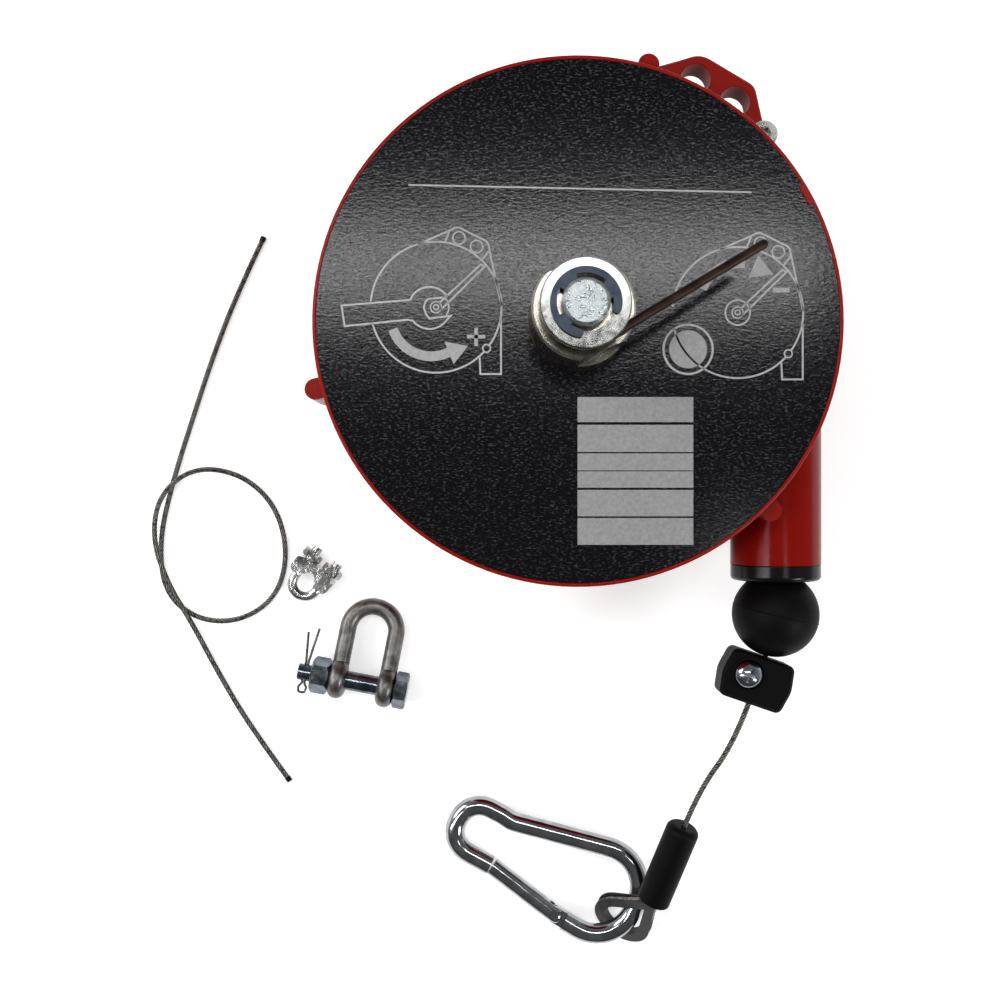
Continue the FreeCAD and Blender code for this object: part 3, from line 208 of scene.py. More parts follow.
def cast_red(colour):
    """Enamel on the casting, which is rough on the dish and glossy from the nose on."""
    material, tree = new_material("red_enamel_on_casting")
    spot = place(tree)
    patches = noise(tree, spot, 30.0, 4.0)
    grain = noise(tree, spot, 420.0, 4.0, 0.6)
    dust = lifted(noise(tree, spot, 210.0, 6.0, 0.7), 0.66, 0.84)
    below = tree.node("ShaderNodeSeparateXYZ", {}, {0: spot}, out="Y")
    nose = 1.0 - lifted(below, -0.032, -0.008)
    base = mixed(tree, patches, shaded(colour, 0.84), shaded(colour, 1.08))
    base = mixed(tree, dust * 0.08, base, DUSTY_RED)
    finish_material(tree, base, 0.48 - nose * 0.35 + grain * 0.08, grain, 0.00008, 0.30,
                    Specular_IOR_Level=RED_SHEEN)
    return material


def black_wrinkle(colour):
    """Black crinkle finish, whose wrinkles run mostly across the plate."""
    material, tree = new_material("black_wrinkle_print")
    spot = place(tree, WRINKLE_STRETCH)
    grain = lifted(noise(tree, spot, 640.0, 2.0, 0.6, 0.3), 0.30, 0.70)
    fleck = lifted(noise(tree, place(tree, WRINKLE_STRETCH, (3, 1, 0)), 800.0, 2.0, 0.6), 0.54, 0.70)
    # The lighter flecks in the base colour are partly the finish's own grey speckle and partly painted glints
    # of the wrinkles
    base = mixed(tree, fleck, rgb(*colour), rgb(0.030, 0.029, 0.031))
    finish_material(tree, base, 0.12 + fleck * 0.14, grain, 0.000016, 1.0, Specular_IOR_Level=0.28)
    return material


def printed_silver(name, colour):
    material, tree = new_material(name)
    spot = place(tree)
    fleck = noise(tree, spot, 900.0, 4.0, 0.6)
    base = mixed(tree, lifted(fleck, 0.35, 0.75), shaded(colour, 0.80), shaded(colour, 1.12))
    finish_material(tree, base, 0.45 + fleck * 0.2, fleck, 0.00010, 0.35, Metallic=0.25)
    return material


def bright_zinc(name, low, high, rough=0.22, scratch=2200.0, patch=130.0, dents=0.0):
    """Zinc or chrome plate; dents is how deep its slow waves are, in metres."""
    material, tree = new_material(name)
    spot = place(tree)
    wave = noise(tree, spot, 240.0, 2.0)
    cloud = lifted(noise(tree, spot, patch, 4.0), 0.34, 0.66)
    fine = noise(tree, spot, scratch, 4.0, 0.65)
    base = mixed(tree, cloud, rgb(*low), rgb(*high))
    finish_material(tree, base, rough + cloud * 0.05 + fine * 0.05, wave + fine * 0.02,
                    max(dents, 0.00001), 1.0, Metallic=1.0)
    return material


def turned_face(name, low, high, rings=5200.0, hammered=False):
    """Turned metal with rings about an upright axis; a hammered face adds small dents."""
    material, tree = new_material(name)
    spot = place(tree)
    flat = tree.node("ShaderNodeVectorMath", {"operation": "MULTIPLY"}, {0: spot, 1: (1, 1, 0)})
    radius = tree.node("ShaderNodeVectorMath", {"operation": "LENGTH"}, {0: flat}, out=1)
    wave = (radius * rings).sine() * 0.5 + 0.5
    cloud = lifted(noise(tree, spot, 420.0, 4.0), 0.35, 0.68)
    height = wave * 0.5 + cloud * 0.2
    rough = 0.15 + cloud * 0.07
    depth = 0.000004
    if hammered:
        dents = tree.node("ShaderNodeTexVoronoi", {"feature": "F1"}, {"Vector": spot, "Scale": 1700.0})
        height = dents
        rough = 0.22 + cloud * 0.14
        depth = 0.00016
    base = mixed(tree, cloud, rgb(*low), rgb(*high))
    finish_material(tree, base, rough, height, depth, 0.5, Metallic=1.0)
    return material


def dark_steel(name, low, high, rough=0.28):
    material, tree = new_material(name)
    spot = place(tree)
    cloud = lifted(noise(tree, spot, 260.0, 4.0), 0.35, 0.65)
    fine = noise(tree, spot, 1700.0, 3.0)
    base = mixed(tree, cloud, rgb(*low), rgb(*high))
    finish_material(tree, base, rough + cloud * 0.14, fine, 0.00006, 0.35, Metallic=0.9)
    return material


def black_moulding(name, level, rough, grain_scale=1500.0, grain_depth=0.00010, sheen=0.25):
    material, tree = new_material(name)
    spot = place(tree)
    cloud = noise(tree, spot, 90.0, 4.0)
    grain = noise(tree, spot, grain_scale, 3.0)
    scuff = lifted(noise(tree, spot, 330.0, 6.0, 0.7), 0.60, 0.78)
    base = mixed(tree, cloud, grey(level * 0.7), grey(level * 1.4))
    base = mixed(tree, scuff * 0.35, base, grey(level * 3.0))
    finish_material(tree, base, rough + scuff * 0.12 - cloud * 0.06, grain, grain_depth, 0.35,
                    Specular_IOR_Level=sheen)
    return material


def wire_steel(name, low, high, stranded_mesh=False):
    """Cable steel; on the stranded meshes the strands are painted near black away from their outer crowns, as
    shade in the gaps between strands.
    """
    material, tree = new_material(name)
    spot = place(tree)
    cloud = lifted(noise(tree, spot, 700.0, 4.0), 0.35, 0.70)
    base = mixed(tree, cloud, rgb(*low), rgb(*high))
    if stranded_mesh:
        crown = tree.node("ShaderNodeAttribute", {"attribute_name": "crown"}, out="Fac")
        # Painted shade: colour goes to near black on each strand away from its outermost crown, so the gaps
        # between strands look shaded
        base = mixed(tree, lifted(crown, 0.84, 0.99), rgb(0.008, 0.007, 0.006), base)
    finish_material(tree, base, 0.24 + cloud * 0.16, cloud, 0.00003, 0.35, Metallic=0.85)
    return material


def galvanised(low, high):
    material, tree = new_material("galvanised_forging")
    spot = place(tree)
    spangle = tree.node("ShaderNodeTexVoronoi", {"feature": "F1"}, {"Vector": spot, "Scale": 480.0})
    cloud = lifted(noise(tree, spot, 190.0, 6.0, 0.65), 0.35, 0.68)
    pits = noise(tree, spot, 900.0, 4.0, 0.7)
    base = mixed(tree, cloud, rgb(*low), rgb(*high))
    finish_material(tree, base, 0.32 + cloud * 0.14, spangle * 0.4 + pits, 0.00007, 0.5, Metallic=0.9)
    return material


# Mesh helpers

def mesh_piece(name, verts, faces, material):
    """Piece from points in millimetres."""
    mesh = bpy.data.meshes.new(name)
    mesh.from_pydata([tuple(c * MM for c in v) for v in verts], [], faces)
    mesh.validate()
    made = bpy.data.objects.new(name, mesh)
    bpy.context.scene.collection.objects.link(made)
    mesh.materials.append(material)
    return made


def outward(mesh):
    """Recalculates a closed mesh's normals to point out."""
    work = bmesh.new()
    work.from_mesh(mesh)
    bmesh.ops.remove_doubles(work, verts=work.verts, dist=1e-7)
    bmesh.ops.recalc_face_normals(work, faces=work.faces)
    work.to_mesh(mesh)
    work.free()


def baked(holder, name, material):
    """Plain mesh of an object with live modifiers, which is then removed."""
    depsgraph = bpy.context.evaluated_depsgraph_get()
    mesh = bpy.data.meshes.new_from_object(holder.evaluated_get(depsgraph), depsgraph=depsgraph)
    made = bpy.data.objects.new(name, mesh)
    bpy.context.scene.collection.objects.link(made)
    data = holder.data
    bpy.data.objects.remove(holder)
    if isinstance(data, bpy.types.Curve):
        bpy.data.curves.remove(data)
    outward(mesh)
    mesh.materials.clear()
    mesh.materials.append(material)
    return made


def nurbs_route(name, points, resolution=12):
    """Smooth line whose control points are the route's points in millimetres."""
    curve = bpy.data.curves.new(name, "CURVE")
    curve.dimensions = "3D"
    curve.resolution_u = resolution
    spline = curve.splines.new("NURBS")
    spline.points.add(len(points) - 1)
    for control, point in zip(spline.points, points):
        control.co = (point[0] * MM, point[1] * MM, point[2] * MM, 1.0)
    spline.order_u = 3
    spline.use_endpoint_u = True
    made = bpy.data.objects.new(name, curve)
    bpy.context.scene.collection.objects.link(made)
    return made


def line_points(route):
    """Points of a route's smooth line."""
    depsgraph = bpy.context.evaluated_depsgraph_get()
    mesh = bpy.data.meshes.new_from_object(route.evaluated_get(depsgraph))
    points = [v.co.copy() for v in mesh.vertices]
    bpy.data.meshes.remove(mesh)
    return points


def strand_tree():
    """Geometry nodes that lay six strands round a line."""
    group = bpy.data.node_groups.new("Stranded cable", "GeometryNodeTree")
    face = group.interface
    face.new_socket(name="Geometry", in_out="INPUT", socket_type="NodeSocketGeometry")
    for name, default in (("Strand Radius", 0.00033), ("Lay Length", 0.012), ("Step", 0.0007)):
        socket = face.new_socket(name=name, in_out="INPUT", socket_type="NodeSocketFloat")
        socket.default_value = default
        socket.subtype = "DISTANCE"
    face.new_socket(name="Material", in_out="INPUT", socket_type="NodeSocketMaterial")
    face.new_socket(name="Geometry", in_out="OUTPUT", socket_type="NodeSocketGeometry")
    tree = Tree(group)
    entry = group.nodes.new("NodeGroupInput")
    given = {socket.name: Value(tree, socket) for socket in entry.outputs if socket.name}
    line = tree.node("GeometryNodeResampleCurve", {"mode": "LENGTH"}, {
        "Curve": given["Geometry"], "Length": given["Step"]})
    along = tree.node("GeometryNodeSplineParameter", out="Length")
    line = tree.node("GeometryNodeSetCurveTilt", {}, {
        "Curve": line, "Tilt": along / given["Lay Length"] * (2 * math.pi)})
    circle = tree.node("GeometryNodeCurvePrimitiveCircle", {"mode": "RADIUS"}, {
        "Resolution": 6, "Radius": given["Strand Radius"] * 2.0})
    strand = tree.node("GeometryNodeCurvePrimitiveCircle", {"mode": "RADIUS"}, {
        "Resolution": 8, "Radius": given["Strand Radius"] * 1.02})
    section = tree.node("GeometryNodeInstanceOnPoints", {}, {"Points": circle, "Instance": strand})
    section = tree.node("GeometryNodeRealizeInstances", {}, {"Geometry": section})
    across = tree.node("GeometryNodeInputPosition")
    crown = tree.node("ShaderNodeVectorMath", {"operation": "LENGTH"}, {0: across}, out="Value")
    section = tree.node("GeometryNodeStoreNamedAttribute", {"data_type": "FLOAT", "domain": "POINT"}, {
        "Geometry": section, "Name": "crown", "Value": crown / (given["Strand Radius"] * 3.0)})
    rope = tree.node("GeometryNodeCurveToMesh", {}, {
        "Curve": line, "Profile Curve": section, "Fill Caps": True})
    rope = tree.node("GeometryNodeSetShadeSmooth", {}, {"Geometry": rope})
    rope = tree.node("GeometryNodeRealizeInstances", {}, {"Geometry": rope})
    rope = tree.node("GeometryNodeSetMaterial", {}, {"Geometry": rope, "Material": given["Material"]})
    tree.node("NodeGroupOutput", {}, {"Geometry": rope})
    return group


def stranded(route, name, material, lay, step):
    """Turns a route into its six strands as a plain mesh."""
    group = bpy.data.node_groups.get("Stranded cable") or strand_tree()
    modifier = route.modifiers.new("Strands", "NODES")
    modifier.node_group = group
    names = {item.name: item.identifier for item in group.interface.items_tree if item.in_out == "INPUT"}
    modifier[names["Strand Radius"]] = STRAND * MM
    modifier[names["Lay Length"]] = lay * MM
    modifier[names["Step"]] = step * MM
    modifier[names["Material"]] = material
    return baked(route, name, material)


def revolved(name, foot, axis, profile, material, closed=False, steps=48):
    """Piece turned about a line from (along, radius) pairs in millimetres."""
    axis = Vector(axis).normalized()
    side = axis.orthogonal().normalized()
    other = axis.cross(side)
    count = len(profile)
    verts = []
    faces = []
    for k in range(steps):
        angle = 2 * math.pi * k / steps
        out = side * math.cos(angle) + other * math.sin(angle)
        verts += [tuple(Vector(foot) + axis * along + out * radius) for along, radius in profile]
        after = (k + 1) % steps
        for j in range(count if closed else count - 1):
            i = (j + 1) % count
            faces.append((k * count + j, after * count + j, after * count + i, k * count + i))
    made = mesh_piece(name, verts, faces, material)
    outward(made.data)
    made.data.shade_smooth()
    made.data.set_sharp_from_angle(angle=math.radians(40))
    return made


def thread_tree():
    """Geometry nodes that wind one thread ridge up the z axis."""
    group = bpy.data.node_groups.new("Thread", "GeometryNodeTree")
    face = group.interface
    face.new_socket(name="Geometry", in_out="INPUT", socket_type="NodeSocketGeometry")
    for name, default in (("Radius", 0.002), ("Pitch", 0.0007), ("Turns", 3.0)):
        socket = face.new_socket(name=name, in_out="INPUT", socket_type="NodeSocketFloat")
        socket.default_value = default
    face.new_socket(name="Material", in_out="INPUT", socket_type="NodeSocketMaterial")
    face.new_socket(name="Geometry", in_out="OUTPUT", socket_type="NodeSocketGeometry")
    tree = Tree(group)
    entry = group.nodes.new("NodeGroupInput")
    given = {socket.name: Value(tree, socket) for socket in entry.outputs if socket.name}
    winding = tree.node("GeometryNodeCurveSpiral", {}, {
        "Resolution": 28, "Rotations": given["Turns"], "Start Radius": given["Radius"],
        "End Radius": given["Radius"], "Height": given["Pitch"] * given["Turns"]})
    ridge = tree.node("GeometryNodeCurvePrimitiveCircle", {"mode": "RADIUS"}, {
        "Resolution": 6, "Radius": given["Pitch"] * 0.26})
    thread = tree.node("GeometryNodeCurveToMesh", {}, {
        "Curve": winding, "Profile Curve": ridge, "Fill Caps": True})
    thread = tree.node("GeometryNodeRealizeInstances", {}, {"Geometry": thread})
    thread = tree.node("GeometryNodeSetMaterial", {}, {"Geometry": thread, "Material": given["Material"]})
    tree.node("NodeGroupOutput", {}, {"Geometry": thread})
    return group


def threaded(name, foot, along, radius, pitch, turns, material):
    """Thread ridge round a rod, from a foot in millimetres and a direction."""
    group = bpy.data.node_groups.get("Thread") or thread_tree()
    holder = mesh_piece(name + "_holder", [(0, 0, 0)], [], material)
    modifier = holder.modifiers.new("Thread", "NODES")
    modifier.node_group = group
    names = {item.name: item.identifier for item in group.interface.items_tree if item.in_out == "INPUT"}
    modifier[names["Radius"]] = radius * MM
    modifier[names["Pitch"]] = pitch * MM
    modifier[names["Turns"]] = turns
    modifier[names["Material"]] = material
    made = baked(holder, name, material)
    turn = Vector((0, 0, 1)).rotation_difference(Vector(along)).to_matrix().to_4x4()
    made.data.transform(Matrix.Translation(Vector(foot) * MM) @ turn)
    return made


def dress(material, *nodes):
    """Gives CAD nodes a finish."""
    for name in nodes:
        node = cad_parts[name]
        node.data.materials.clear()
        node.data.materials.append(material)


# What a user would change

class BalancerSizes(bpy.types.PropertyGroup):
    camera_height: bpy.props.FloatProperty(
        name="Camera Height", description="Height of the camera above the floor",
        default=CAMERA_HEIGHT * MM, unit="LENGTH")
    camera_lens: bpy.props.FloatProperty(
        name="Lens", description="Focal length on a 36 mm sensor", default=42.13)
    strand_lay: bpy.props.FloatProperty(
        name="Strand Lay", description="Length in which a strand goes once round the cable, in millimetres",
        default=9.0, min=4.0)
    mark_height: bpy.props.FloatProperty(
        name="Print Height", description="How far the print stands on the name plate, in millimetres",
        default=0.03, min=0.01)


class BalancerColours(bpy.types.PropertyGroup):
    enamel: bpy.props.FloatVectorProperty(
        name="Enamel", description="Red enamel of casing and cover", subtype="COLOR",
        default=(0.235, 0.0055, 0.0025), min=0, max=1)
    plate: bpy.props.FloatVectorProperty(
        name="Plate", description="Ground colour of the name plate", subtype="COLOR",
        default=(0.0022, 0.0022, 0.0036), min=0, max=1)
    print_ink: bpy.props.FloatVectorProperty(
        name="Print", description="Silver print on the name plate", subtype="COLOR",
        default=(0.44, 0.44, 0.44), min=0, max=1)


def sizes():
    return bpy.context.scene.balancer_sizes


def colours():
    return bpy.context.scene.balancer_colours


# Places and sizes of small pieces, in millimetres and degrees

BALL_CENTRE = (71.4, -97.4, 40.0)
BALL_RADIUS = 15.0
BALL_TILT = 13.0
SEAM_RADIUS = 0.20
SEAM_SINK = 0.02
SEAM_SIDES = 8
CLIP_LEG_FEET = ((-102.915, -86.282, 4.65), (-95.485, -92.518, 4.65))
CLIP_LEG_LINE = (0.6428, 0.7660, 0.0)
CLIP_LEG_RADIUS = 1.85
CLIP_NUT_TOP = 11.95
CLIP_PITCH = 0.6
CLIP_TURNS = 2.8
TIP_PROFILE = [(-1.9, 1.02), (-1.7, 1.10), (-0.2, 1.10), (0.05, 0.85), (0.12, 0.0)]
SAFETY_STEP = 0.45
LEAD_STEP = 0.5


# Routes of the cables, in millimetres

REST = CABLE / 2 + 0.05
HUMP = 4.3
SAFETY_ROUTE = [
    (-115.6, 43.4, REST), (-126.0, 21.5, REST), (-135.4, -3.0, REST), (-143.5, -28.0, REST),
    (-150.6, -50.5, REST), (-155.9, -73.5, REST), (-153.6, -93.5, REST), (-140.6, -103.8, REST),
    (-124.2, -104.0, REST), (-110.6, -94.6, REST), (-106.3, -78.0, REST), (-110.9, -59.6, REST),
    (-124.3, -47.4, REST), (-141.6, -44.8, HUMP), (-154.9, -55.3, HUMP), (-157.6, -72.0, HUMP),
    (-151.6, -89.5, HUMP), (-143.0, -104.5, REST + 0.9), (-133.4, -123.2, REST), (-120.9, -144.4, REST),
    (-105.6, -165.3, REST),
]
LOAD_ROUTE = [
    (62.25, -128.52, 39.50), (56.71, -143.53, 39.06), (46.28, -160.01, 33.48), (41.20, -174.65, 29.50),
]
LEAD_ROUTE = [
    (71.4, -18.4, 40.0), (71.4, -97.4, 40.0), (68.59, -111.35, 40.0), (62.25, -128.52, 39.5),
]


class BALANCER_OT_stage(bpy.types.Operator):
    """Camera, white floor and soft studio light"""
    bl_idname = "balancer.stage"
    bl_label = "Stage"

    def execute(self, context):
        scene = context.scene
        scene.view_settings.view_transform = "Standard"
        data = bpy.data.cameras.new("camera")
        data.lens = sizes().camera_lens
        data.sensor_width = 36.0
        data.clip_start = 0.01
        camera = bpy.data.objects.new("camera", data)
        camera.location = (CAMERA_X * MM, CAMERA_Y * MM, sizes().camera_height)
        scene.collection.objects.link(camera)
        scene.camera = camera

        material, tree = new_material("white_floor")
        path = tree.tree.nodes.new("ShaderNodeLightPath")
        seen = (Value(tree, path.outputs["Is Camera Ray"]) + Value(tree, path.outputs["Is Glossy Ray"])
                + Value(tree, path.outputs["Is Transmission Ray"])).clamped()
        paper = tree.node("ShaderNodeBsdfDiffuse", {}, {"Color": grey(0.80)})
        glow = tree.node("ShaderNodeEmission", {}, {"Color": grey(1.0), "Strength": seen * 0.50})
        both = tree.node("ShaderNodeAddShader", {}, {0: paper, 1: glow})
        tree.node("ShaderNodeOutputMaterial", {}, {"Surface": both})
        half = FLOOR_HALF
        corners = [(-half, -half, 0), (half, -half, 0), (half, half, 0), (-half, half, 0)]
        floor = mesh_piece("floor", corners, [(0, 1, 2, 3)], material)

        world = bpy.data.worlds.new("studio")
        scene.world = world
        world.use_nodes = True
        world.node_tree.nodes.clear()
        tree = Tree(world.node_tree)
        direction = tree.node("ShaderNodeTexCoord", out="Generated")
        up = tree.node("ShaderNodeSeparateXYZ", {}, {0: direction}, out="Z")
        back = tree.node("ShaderNodeSeparateXYZ", {}, {0: direction}, out="Y")
        room = tree.node("ShaderNodeValToRGB", {"stops": [
            (0.0, grey(0.60)), (0.15, grey(0.55)), (0.40, grey(0.30)), (0.65, grey(0.20)),
            (0.85, grey(0.15)), (1.0, grey(0.15))]}, {"Fac": up})
        front = tree.node("ShaderNodeValToRGB", {"stops": [
            (0.0, grey(0.05)), (0.30, grey(0.10)), (0.70, grey(0.14)), (1.0, grey(0.15))]}, {"Fac": up})
        room = mixed(tree, lifted(back, -0.45, 0.15), front, room)
        path = tree.tree.nodes.new("ShaderNodeLightPath")
        shade = mixed(tree, Value(tree, path.outputs["Is Camera Ray"]), room, grey(1.0))
        sky = tree.node("ShaderNodeBackground", {}, {"Color": shade, "Strength": 1.0})
        tree.node("ShaderNodeOutputWorld", {}, {"Surface": sky})

        for name, spot, aim, size, power in (
            ("strip", (-0.12, 0.205, 1.00), (-0.12, -0.02, 0.0), (0.92, 0.05), 3.0),
            ("window", (-0.62, -0.20, 0.75), (0.05, -0.06, 0.0), (0.09, 0.55), 2.4),
            ("slit", (0.30, -0.17, 1.00), (0.05, -0.10, 0.0), (0.04, 0.16), 0.25),
            ("side", (-1.10, 0.45, 0.70), (0.0, 0.0, 0.0), (0.7, 0.5), 8.0),
            ("front", (0.95, -0.65, 0.80), (0.0, -0.05, 0.0), (0.5, 0.4), 8.0),
        ):
            lamp = bpy.data.lights.new(name, "AREA")
            lamp.shape = "RECTANGLE"
            lamp.size = size[0]
            lamp.size_y = size[1]
            lamp.energy = power
            made = bpy.data.objects.new(name, lamp)
            made.location = spot
            away = Vector(aim) - Vector(spot)
            made.rotation_euler = away.to_track_quat("-Z", "Y").to_euler()
            scene.collection.objects.link(made)
        return {"FINISHED"}


class BALANCER_OT_cables(bpy.types.Operator):
    """The stranded steel cables"""
    bl_idname = "balancer.cables"
    bl_label = "Cables"

    def execute(self, context):
        steel = wire_steel("stranded_steel_painted_gap_shade", (0.10, 0.096, 0.088), (0.30, 0.29, 0.27), True)
        lay = sizes().strand_lay

        route = nurbs_route("safety_route", SAFETY_ROUTE)
        path = line_points(route)
        safety = stranded(route, "safety_cable_strands", steel, lay, SAFETY_STEP)
        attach(safety, "housing")
        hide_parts("safety_cable")

        burnt = dark_steel("burnt_cable_end", (0.006, 0.006, 0.006), (0.02, 0.019, 0.018), 0.5)
        for name, end, before in (("upper", path[0], path[4]), ("lower", path[-1], path[-5])):
            tip = revolved("safety_cable_tip_" + name, end / MM, end - before, TIP_PROFILE, burnt)
            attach(tip, "housing")

        route = nurbs_route("load_route", LOAD_ROUTE, 24)
        path = line_points(route)
        load = stranded(route, "load_cable_strands", steel, lay, LEAD_STEP)
        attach(load, "load_end")
        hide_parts("load_cable")

        route = nurbs_route("lead_route", LEAD_ROUTE, 24)
        lead = stranded(route, "lead_cable_strands", steel, lay, LEAD_STEP)
        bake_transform(lead)
        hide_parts("lead_cable")

        dress(wire_steel("cable_steel_wound", (0.10, 0.095, 0.09), (0.30, 0.29, 0.28)),
              "wound_cable", "sleeve_wire", "eye_cable")
        return {"FINISHED"}


# Print on the name plate. Its places are in pixels of the main view, which is 1000 pixels square.

PLATE_SCALE = FLOOR_SCALE * (1 - PLATE_TOP / CAMERA_HEIGHT)
VIEW_MIDDLE = 500
THIN = 1.8


def on_plate(px, py):
    """Place on the plate, in millimetres, of a pixel of the main view."""
    return ((px - VIEW_MIDDLE) * PLATE_SCALE + CAMERA_X, (VIEW_MIDDLE - py) * PLATE_SCALE + CAMERA_Y)


def arc(centre, radius, start, end, steps=None):
    """Points on an arc; angles in degrees, anticlockwise from the right."""
    steps = steps or max(8, int(abs(end - start) / 4))
    return [(centre[0] + radius * math.cos(math.radians(start + (end - start) * k / steps)),
             centre[1] - radius * math.sin(math.radians(start + (end - start) * k / steps)))
            for k in range(steps + 1)]


class Print:
    """Collects flat marks as thin closed slabs on the plate."""

    def __init__(self, height):
        self.verts = []
        self.faces = []
        self.low = PLATE_TOP - 0.02
        self.high = PLATE_TOP + height

    def slab(self, outline):
        """Convex outline in pixels."""
        points = [on_plate(*p) for p in outline]
        area = sum(a[0] * b[1] - b[0] * a[1] for a, b in zip(points, points[1:] + points[:1]))
        if area < 0:
            points.reverse()
        start = len(self.verts)
        count = len(points)
        self.verts += [(x, y, self.low) for x, y in points] + [(x, y, self.high) for x, y in points]
        self.faces.append(tuple(start + k for k in reversed(range(count))))
        self.faces.append(tuple(start + count + k for k in range(count)))
        for k in range(count):
            after = (k + 1) % count
            self.faces.append((start + k, start + after, start + count + after, start + count + k))

    def stroke(self, points, width, closed=False):
        """Line of one width through points in pixels, with mitred corners."""
        count = len(points)
        sides = []
        for k in range(count):
            before = points[k - 1] if closed or k > 0 else points[k]
            after = points[(k + 1) % count] if closed or k < count - 1 else points[k]
            here = Vector(points[k])
            a = (here - Vector(before)).normalized() if Vector(before) != here else None
            b = (Vector(after) - here).normalized() if Vector(after) != here else None
            a = a or b
            b = b or a
            across = Vector((-(a + b).y, (a + b).x)).normalized()
            reach = width / 2 / max(0.35, across.dot(Vector((-a.y, a.x))))
            sides.append((here + across * reach, here - across * reach))
        rings = []
        for left, right in sides:
            start = len(self.verts)
            for point, z in ((left, self.low), (right, self.low), (right, self.high), (left, self.high)):
                x, y = on_plate(*point)
                self.verts.append((x, y, z))
            rings.append(start)
        pairs = list(zip(rings, rings[1:] + rings[:1])) if closed else list(zip(rings, rings[1:]))
        for a, b in pairs:
            for k in range(4):
                j = (k + 1) % 4
                self.faces.append((a + k, a + j, b + j, b + k))
        if not closed:
            self.faces.append(tuple(rings[0] + k for k in (3, 2, 1, 0)))
            self.faces.append(tuple(rings[-1] + k for k in range(4)))

    def piece(self, name, material):
        made = mesh_piece(name, self.verts, self.faces, material)
        work = bmesh.new()
        work.from_mesh(made.data)
        bmesh.ops.recalc_face_normals(work, faces=work.faces)
        work.to_mesh(made.data)
        work.free()
        return made


def balancer_outline(marks, centre):
    """Line drawing of a round balancer with its lug, nose and lever."""
    x, y = centre

    def line(*points):
        marks.stroke([(x + px, y + py) for px, py in points], THIN)

    marks.stroke(arc(centre, 65.5, -43, -166), THIN)
    marks.stroke(arc(centre, 65.5, 175, -35), THIN)
    line((-17.5, -63.1), (14.3, -77.0), (18.5, -79.5), (22.4, -79.8), (25.6, -78.5), (49.6, -66.4),
         (52.2, -63.6), (54.0, -54.2), (62.2, -16.6), (65.4, -1.5))
    line((13.4, -76.0), (9.2, -65.6))
    line((52.9, -56.0), (46.4, -47.8))
    line((65.0, 12.0), (65.0, 66.8), (44.4, 66.8), (43.7, 50.3))
    marks.stroke(arc((x + 22.9, y - 69.3), 6.2, 0, 360), 1.4)
    marks.stroke(arc((x + 40.6, y - 60.6), 6.2, 0, 360), 1.4)
    marks.stroke(arc((x + 50.6, y + 41.1), 3.9, 0, 360), 1.4)
    marks.stroke(arc(centre, 5.6, 0, 352, 30), 1.3, True)
    marks.stroke(arc(centre, 2.5, 0, 345, 20), 1.2, True)
    line((2.5, -3.6), (44.9, -42.9), (48.6, -40.6), (4.2, 3.2))


def spanner_outline(marks, centre):
    """Handle and open jaw round the drawing's hub."""
    x, y = centre
    head = (x - 6.5, y + 0.7)
    marks.stroke([(x - 27.0, y - 7.2), (x - 94.5, y - 1.7), (x - 91.4, y + 18.9), (x - 27.8, y + 12.5)], THIN)
    marks.stroke([(x - 27.0, y - 7.2), (x - 25.2, y - 8.2)] + arc(head, 21.0, 152, 33), THIN)
    marks.stroke([(x - 27.8, y + 12.5), (x - 24.5, y + 13.5)] + arc(head, 21.0, 216, 316)
                 + [(x + 14.6, y + 8.6), (x - 6.6, y + 11.4), (x - 10.2, y + 6.5), (x - 12.3, y + 0.1),
                    (x - 10.4, y - 5.6), (x - 7.2, y - 8.4), (x + 6.7, y - 9.6)], THIN)
    marks.stroke(arc(centre, 12.8, 44, -38), 1.5)


def curved_arrow(marks, centre, radius, start, end, head):
    """Thick curved arrow with a three-cornered head."""
    marks.stroke(arc(centre, radius, start, end), 9.7)
    marks.slab(head)


class BALANCER_OT_plate(bpy.types.Operator):
    """The name plate and its blank generic print"""
    bl_idname = "balancer.plate"
    bl_label = "Name Plate"

    def execute(self, context):
        dress(black_wrinkle(colours().plate), "label_plate")
        height = sizes().mark_height

        lines = Print(height)
        lines.stroke([(408.5, 184.9), (751.7, 192.2)], 1.6)
        first = (436.0, 307.2)
        second = (737.7, 312.6)
        balancer_outline(lines, first)
        spanner_outline(lines, first)
        balancer_outline(lines, second)
        lines.stroke(arc(second, 12.4, 0, 352, 48), 1.6, True)
        lines.stroke(arc((688.1, 349.3), 24.6, 0, 352, 60), 2.2, True)

        fills = Print(height)
        curved_arrow(fills, (431.1, 316.0), 40.3, 199, 296, [(444.5, 341.7), (468.2, 345.9), (453.6, 364.1)])
        curved_arrow(fills, (740.2, 304.2), 41.0, 158, 83, [(758.2, 255.0), (773.3, 274.4), (748.5, 277.8)])
        fills.stroke([(467.0, 336.6), (485.2, 336.6)], 3.6)
        fills.stroke([(476.1, 327.7), (476.1, 345.9)], 3.6)
        fills.stroke([(772.7, 290.1), (789.7, 290.1)], 4.8)
        fills.slab(arc((688.1, 349.3), 19.0, 0, 350, 40))

        fields = Print(height)
        for low, high in ((397.0, 422.1), (424.8, 452.0), (453.4, 470.4), (471.3, 487.7),
                          (489.9, 516.3), (518.0, 544.8)):
            fields.slab([(577.5, low), (693.3, low), (693.3, high), (577.5, high)])

        ink = colours().print_ink
        for marks, name, share in ((lines, "plate_lines", 1.0), (fills, "plate_marks", 0.8),
                                   (fields, "plate_fields", 0.66)):
            made = marks.piece(name, printed_silver(name + "_ink", [c * share for c in ink]))
            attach(made, "housing")
        return {"FINISHED"}


